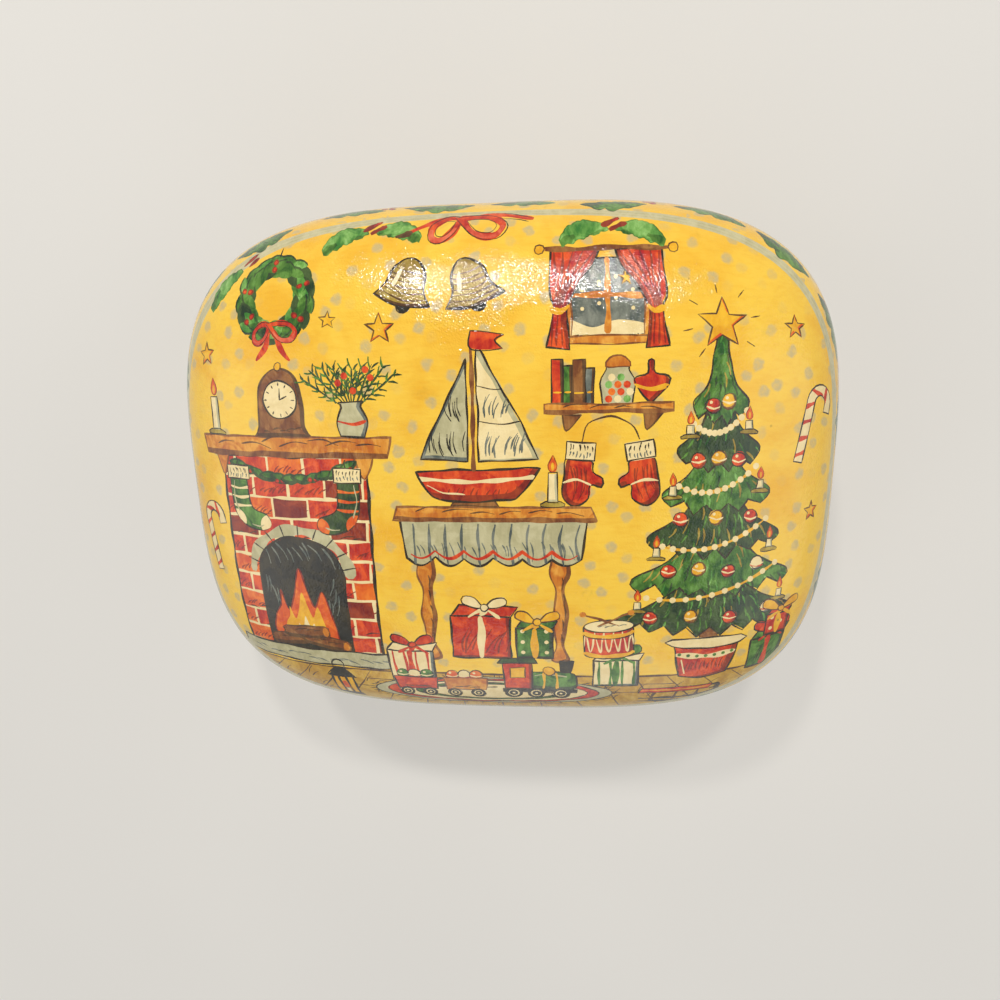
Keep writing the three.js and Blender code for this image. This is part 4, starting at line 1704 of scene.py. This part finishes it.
def lacquer_material(name, paints, finish, mouth):
    """Black lacquer, worn to the bare board along an edge."""
    material, tree, shader = new_material(name)
    wash = use(
        tree,
        "Brushed Wash",
        {
            "Paint": rgba(paints.lacquer),
            "Thinness": LACQUER_THINNESS,
            "Ground": rgba(paints.board),
        },
    )
    specks = {"Color In": wash.outputs[0], "Speck": rgba(paints.board), "Amount": LACQUER_AGE}
    aged = use(tree, "Age Specks", specks)
    wear = LACQUER_WEAR * finish.wear
    edge = {"Height": mouth * MM, "Reach": LACQUER_WEAR_REACH, "Amount": wear}
    worn = use(tree, "Mouth Wear", edge)
    colour = mix_colour(tree, worn.outputs[0], aged.outputs[0], rgba(paints.board))
    tree.links.new(colour, shader.inputs["Base Color"])
    roughness = finish.varnish_roughness + LACQUER_DULL
    depth = LACQUER_SMOOTH * finish.orange_peel
    varnished(tree, shader, LACQUER_CRINKLE, roughness, depth, LACQUER_LEVEL)
    return material


# Pieces


def add_shell(context, part, skin, painting, inner, node, body, mouth):
    """Moulds, paints and varnishes a shell, the lid or the tray."""
    paints, finish = context.scene.trinket_box_paints, context.scene.trinket_box_finish
    name = f"{part}_painted_shell"
    mesh = shell_mesh(name, skin, painting, inner, paints)
    materials = [
        painted_material(f"painted {part}", paints, finish, mouth),
        lacquer_material(f"lacquered {part} inside", paints, finish, mouth),
    ]
    add_piece(name, mesh, node, body, materials)


class TRINKETBOX_OT_lid(bpy.types.Operator):
    """Mould, paint and varnish the domed lid"""

    bl_idname = "trinketbox.lid"
    bl_label = "Painted Lid"

    def execute(self, context):
        skin, mouth = lid_skin(), LID_LOW.z
        inner = [
            inset(WALL - INNER_EDGE, mouth),
            *rounded(WALL, mouth + INNER_EDGE, INNER_EDGE, -90, -180, LIP_STEPS)[1:],
            *dome_rings(WALL, INNER_DOME_STEPS, INNER_DOME_FOOT)[:0:-1],
            (0, 0, LID_HIGH.z - WALL),
        ]
        add_shell(context, "lid", skin, lid_picture(skin), inner, "domed_lid", "lid", mouth)
        return {"FINISHED"}


class TRINKETBOX_OT_tray(bpy.types.Operator):
    """Mould, paint and varnish the base tray"""

    bl_idname = "trinketbox.tray"
    bl_label = "Painted Tray"

    def execute(self, context):
        skin, mouth = tray_skin(), TRAY_HIGH.z
        corner = TRAY_CORNER - WALL
        inner = [
            inset(WALL - INNER_EDGE, mouth),
            *rounded(WALL, mouth - INNER_EDGE, INNER_EDGE, 90, 180, LIP_STEPS)[1:],
            *rounded(WALL + corner, FLOOR + corner, corner, 0, -90, INNER_CORNER_STEPS),
            (0, 0, FLOOR),
        ]
        add_shell(context, "tray", skin, tray_picture(skin), inner, "base_tray", "base", mouth)
        return {"FINISHED"}


class TRINKETBOX_OT_collar(bpy.types.Operator):
    """Bend the locating collar round inside the tray's mouth"""

    bl_idname = "trinketbox.collar"
    bl_label = "Locating Collar"

    def execute(self, context):
        paints, finish = context.scene.trinket_box_paints, context.scene.trinket_box_finish
        mesh = collar_mesh("collar_strip")
        materials = [lacquer_material("lacquered collar", paints, finish, COLLAR_HIGH.z)]
        add_piece("collar_strip", mesh, "base_collar", "base", materials)
        return {"FINISHED"}


def collar_mesh(name):
    """A closed strip whose two ends meet at the back."""
    outer = HALF_LENGTH - COLLAR_HIGH.x
    inner = outer + COLLAR_THICKNESS
    low, high = COLLAR_LOW.z, COLLAR_HIGH.z
    edge = COLLAR_EDGE
    section = [
        inset(outer, low),
        inset(outer, TRAY_HIGH.z),
        inset(outer + COLLAR_SANDING, LID_LOW.z),
        *rounded(outer + COLLAR_SANDING + edge, high - edge, edge, 0, 90, COLLAR_EDGE_STEPS),
        *rounded(inner - edge, high - edge, edge, 90, 180, COLLAR_EDGE_STEPS),
        inset(inner, low),
    ]
    start = math.pi / 2 + COLLAR_BUTT_GAP / 2 / HALF_LENGTH
    turn = start + (2 * math.pi - COLLAR_BUTT_GAP / HALF_LENGTH) * np.linspace(0, 1, AROUND)
    unit = outline_unit(turn)
    verts = [
        (length * unit[0][i] * MM, width * unit[1][i] * MM, height * MM)
        for i in range(AROUND)
        for length, width, height in section
    ]
    count = len(section)
    faces = []
    for i in range(AROUND - 1):
        for j in range(count):
            a, b = i * count + j, i * count + (j + 1) % count
            faces.append((a, b, b + count, a + count))
    faces.append(tuple(range(count))[::-1])
    faces.append(tuple(range((AROUND - 1) * count, AROUND * count)))
    mesh = bpy.data.meshes.new(name)
    mesh.from_pydata(verts, [], faces)
    mesh.update()
    mesh.polygons.foreach_set("use_smooth", [True] * (len(faces) - 2) + [False] * 2)
    return mesh


# Stage

CAMERA_PITCH = math.radians(11.83)
CAMERA_YAW = math.radians(5.70)
CAMERA_ROLL = math.radians(-1.38)
CAMERA_DISTANCE = 0.1834
CAMERA_AIM_SIDE = 0.007
CAMERA_AIM_UP = 0.046
CAMERA_LENS = 27.04
SENSOR = 36.0


def swung(first, second, angle):
    """Two directions, turned by an angle in their plane."""
    c, s = math.cos(angle), math.sin(angle)
    return first * c + second * s, second * c - first * s


def add_camera(scene):
    toward = Vector(
        (
            math.sin(CAMERA_YAW) * math.cos(CAMERA_PITCH),
            math.sin(CAMERA_PITCH),
            math.cos(CAMERA_YAW) * math.cos(CAMERA_PITCH),
        )
    )
    ahead = -toward
    right = ahead.cross(Vector((0, 1, 0))).normalized()
    right, up = swung(right, right.cross(ahead), CAMERA_ROLL)
    right, ahead = swung(right, ahead, CAMERA_AIM_SIDE)
    up, ahead = swung(up, ahead, CAMERA_AIM_UP)
    data = bpy.data.cameras.new("camera")
    data.lens, data.sensor_width = CAMERA_LENS, SENSOR
    data.clip_start, data.clip_end = 0.005, 20
    camera = bpy.data.objects.new("camera", data)
    place = Vector((0, 0, LID_LOW.z * MM)) + toward * CAMERA_DISTANCE
    camera.matrix_world = Matrix.Translation(place) @ Matrix((right, up, -ahead)).transposed().to_4x4()
    scene.collection.objects.link(camera)
    scene.camera = camera


# Lamps: place, size, power and colour. The two keys make the glare's two halves.
WARM, WHITE = (1.0, 0.97, 0.92), (1.0, 1.0, 1.0)
LAMPS = {
    "key left": ((-0.155, 0.60, 0.64), 0.07, 2.9, WARM),
    "key right": ((0.10, 0.58, 0.65), 0.07, 2.9, WARM),
    "soft right": ((1.25, -0.3, 0.85), 1.6, 6.5, WHITE),
    "soft left": ((-1.25, -0.3, 0.85), 1.6, 6.1, WHITE),
    "soft front": ((0.05, -1.35, 0.6), 1.4, 5.6, WHITE),
}
LAMP_TARGET = (0.0, 0.0, 0.035)
ROOM_LIGHT = 0.12
ROOM_SEEN = 0.9
FLOOR_REACH = 3.0
FLOOR_ROUGHNESS = 0.8
FLOOR_LIT = 0.4  # share of the floor's paleness that is left to the lamps and shadows
FLOOR_MOTTLE = 0.03
FLOOR_FADE = (0.2, 0.8)  # metres from the box, over which the floor fades into the room


def add_lamp(scene, name, place, size, power, colour):
    data = bpy.data.lights.new(name, "AREA")
    data.shape, data.size, data.energy, data.color = "DISK", size, power, colour
    lamp = bpy.data.objects.new(name, data)
    lamp.location = place
    aim = Vector(LAMP_TARGET) - Vector(place)
    lamp.rotation_euler = aim.to_track_quat("-Z", "Y").to_euler()
    scene.collection.objects.link(lamp)


def rays_that_see(tree):
    """1 for rays from the camera, and for mirrored and refracted ones."""
    path = add(tree, "ShaderNodeLightPath").outputs
    bounced = sums(tree, "MAXIMUM", path["Is Glossy Ray"], path["Is Transmission Ray"])
    return sums(tree, "MAXIMUM", path["Is Camera Ray"], bounced)


def add_floor(scene, paints):
    """A grey floor, which the camera sees as pale and which far off looks like the room."""
    r = FLOOR_REACH
    mesh = bpy.data.meshes.new("floor")
    mesh.from_pydata([(-r, -r, 0), (r, -r, 0), (r, r, 0), (-r, r, 0)], [], [(0, 1, 2, 3)])
    material, tree, shader = new_material("pale floor")
    place = object_place(tree)
    tone = ramp(tree, noise(tree, place, 6, 2), 0.3, 0.7, FLOOR_LIT, FLOOR_LIT + FLOOR_MOTTLE)
    grey = mix_colour(tree, 1.0, rgba(paints.floor), tone, "MULTIPLY")
    tree.links.new(grey, shader.inputs["Base Color"])
    shader.inputs["Roughness"].default_value = FLOOR_ROUGHNESS
    seen = rays_that_see(tree)
    tree.links.new(times(tree, seen, ROOM_SEEN - FLOOR_LIT), shader.inputs["Emission Strength"])
    shader.inputs["Emission Color"].default_value = rgba(paints.floor)
    far = add(tree, "ShaderNodeVectorMath", {0: place}, operation="LENGTH").outputs["Value"]
    share = times(tree, ramp(tree, far, *FLOOR_FADE), seen)
    room = add(tree, "ShaderNodeEmission", {"Color": rgba(paints.floor), "Strength": ROOM_SEEN})
    faded = add(tree, "ShaderNodeMixShader", {0: share, 1: shader.outputs[0], 2: room.outputs[0]})
    tree.links.new(faded.outputs[0], tree.nodes["Material Output"].inputs["Surface"])
    mesh.materials.append(material)
    floor = bpy.data.objects.new("floor", mesh)
    scene.collection.objects.link(floor)


def add_room(scene, paints):
    """An even dim room, which looks as pale as the floor."""
    world = bpy.data.worlds.new("soft room")
    world.use_nodes = True
    tree = world.node_tree
    background = tree.nodes["Background"]
    background.inputs["Color"].default_value = rgba(paints.floor)
    strength = add(
        tree,
        "ShaderNodeMapRange",
        {"Value": rays_that_see(tree), "To Min": ROOM_LIGHT, "To Max": ROOM_SEEN},
    )
    tree.links.new(strength.outputs[0], background.inputs["Strength"])
    scene.world = world


class TRINKETBOX_OT_stage(bpy.types.Operator):
    """Set up the floor, the soft lamps, the room and the camera"""

    bl_idname = "trinketbox.stage"
    bl_label = "Stage"

    def execute(self, context):
        scene = context.scene
        add_floor(scene, scene.trinket_box_paints)
        add_room(scene, scene.trinket_box_paints)
        for name, lamp in LAMPS.items():
            add_lamp(scene, name, *lamp)
        add_camera(scene)
        scene.view_settings.view_transform = "Standard"
        return {"FINISHED"}


class TRINKETBOX_PT_panel(bpy.types.Panel):
    """Lists the pieces and their settings"""

    bl_label = "Trinket Box"
    bl_idname = "TRINKETBOX_PT_panel"
    bl_space_type = "VIEW_3D"
    bl_region_type = "UI"
    bl_category = "Trinket Box"

    def draw(self, context):
        layout = self.layout
        for operator in OPERATORS:
            layout.operator(operator.bl_idname)
        for group_of in (context.scene.trinket_box_finish, context.scene.trinket_box_paints):
            column = layout.column()
            for name in group_of.bl_rna.properties.keys():
                if name not in ("rna_type", "name"):
                    column.prop(group_of, name)


OPERATORS = (TRINKETBOX_OT_lid, TRINKETBOX_OT_tray, TRINKETBOX_OT_collar, TRINKETBOX_OT_stage)
CLASSES = (TrinketBoxPaints, TrinketBoxFinish, *OPERATORS, TRINKETBOX_PT_panel)


def register():
    for cls in CLASSES:
        bpy.utils.register_class(cls)
    bpy.types.Scene.trinket_box_paints = bpy.props.PointerProperty(type=TrinketBoxPaints)
    bpy.types.Scene.trinket_box_finish = bpy.props.PointerProperty(type=TrinketBoxFinish)


def unregister():
    del bpy.types.Scene.trinket_box_paints
    del bpy.types.Scene.trinket_box_finish
    for cls in reversed(CLASSES):
        bpy.utils.unregister_class(cls)


def main():
    register()
    bpy.ops.trinketbox.lid()
    bpy.ops.trinketbox.tray()
    bpy.ops.trinketbox.collar()
    bpy.ops.trinketbox.stage()
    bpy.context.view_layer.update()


if __name__ == "__main__":
    main()
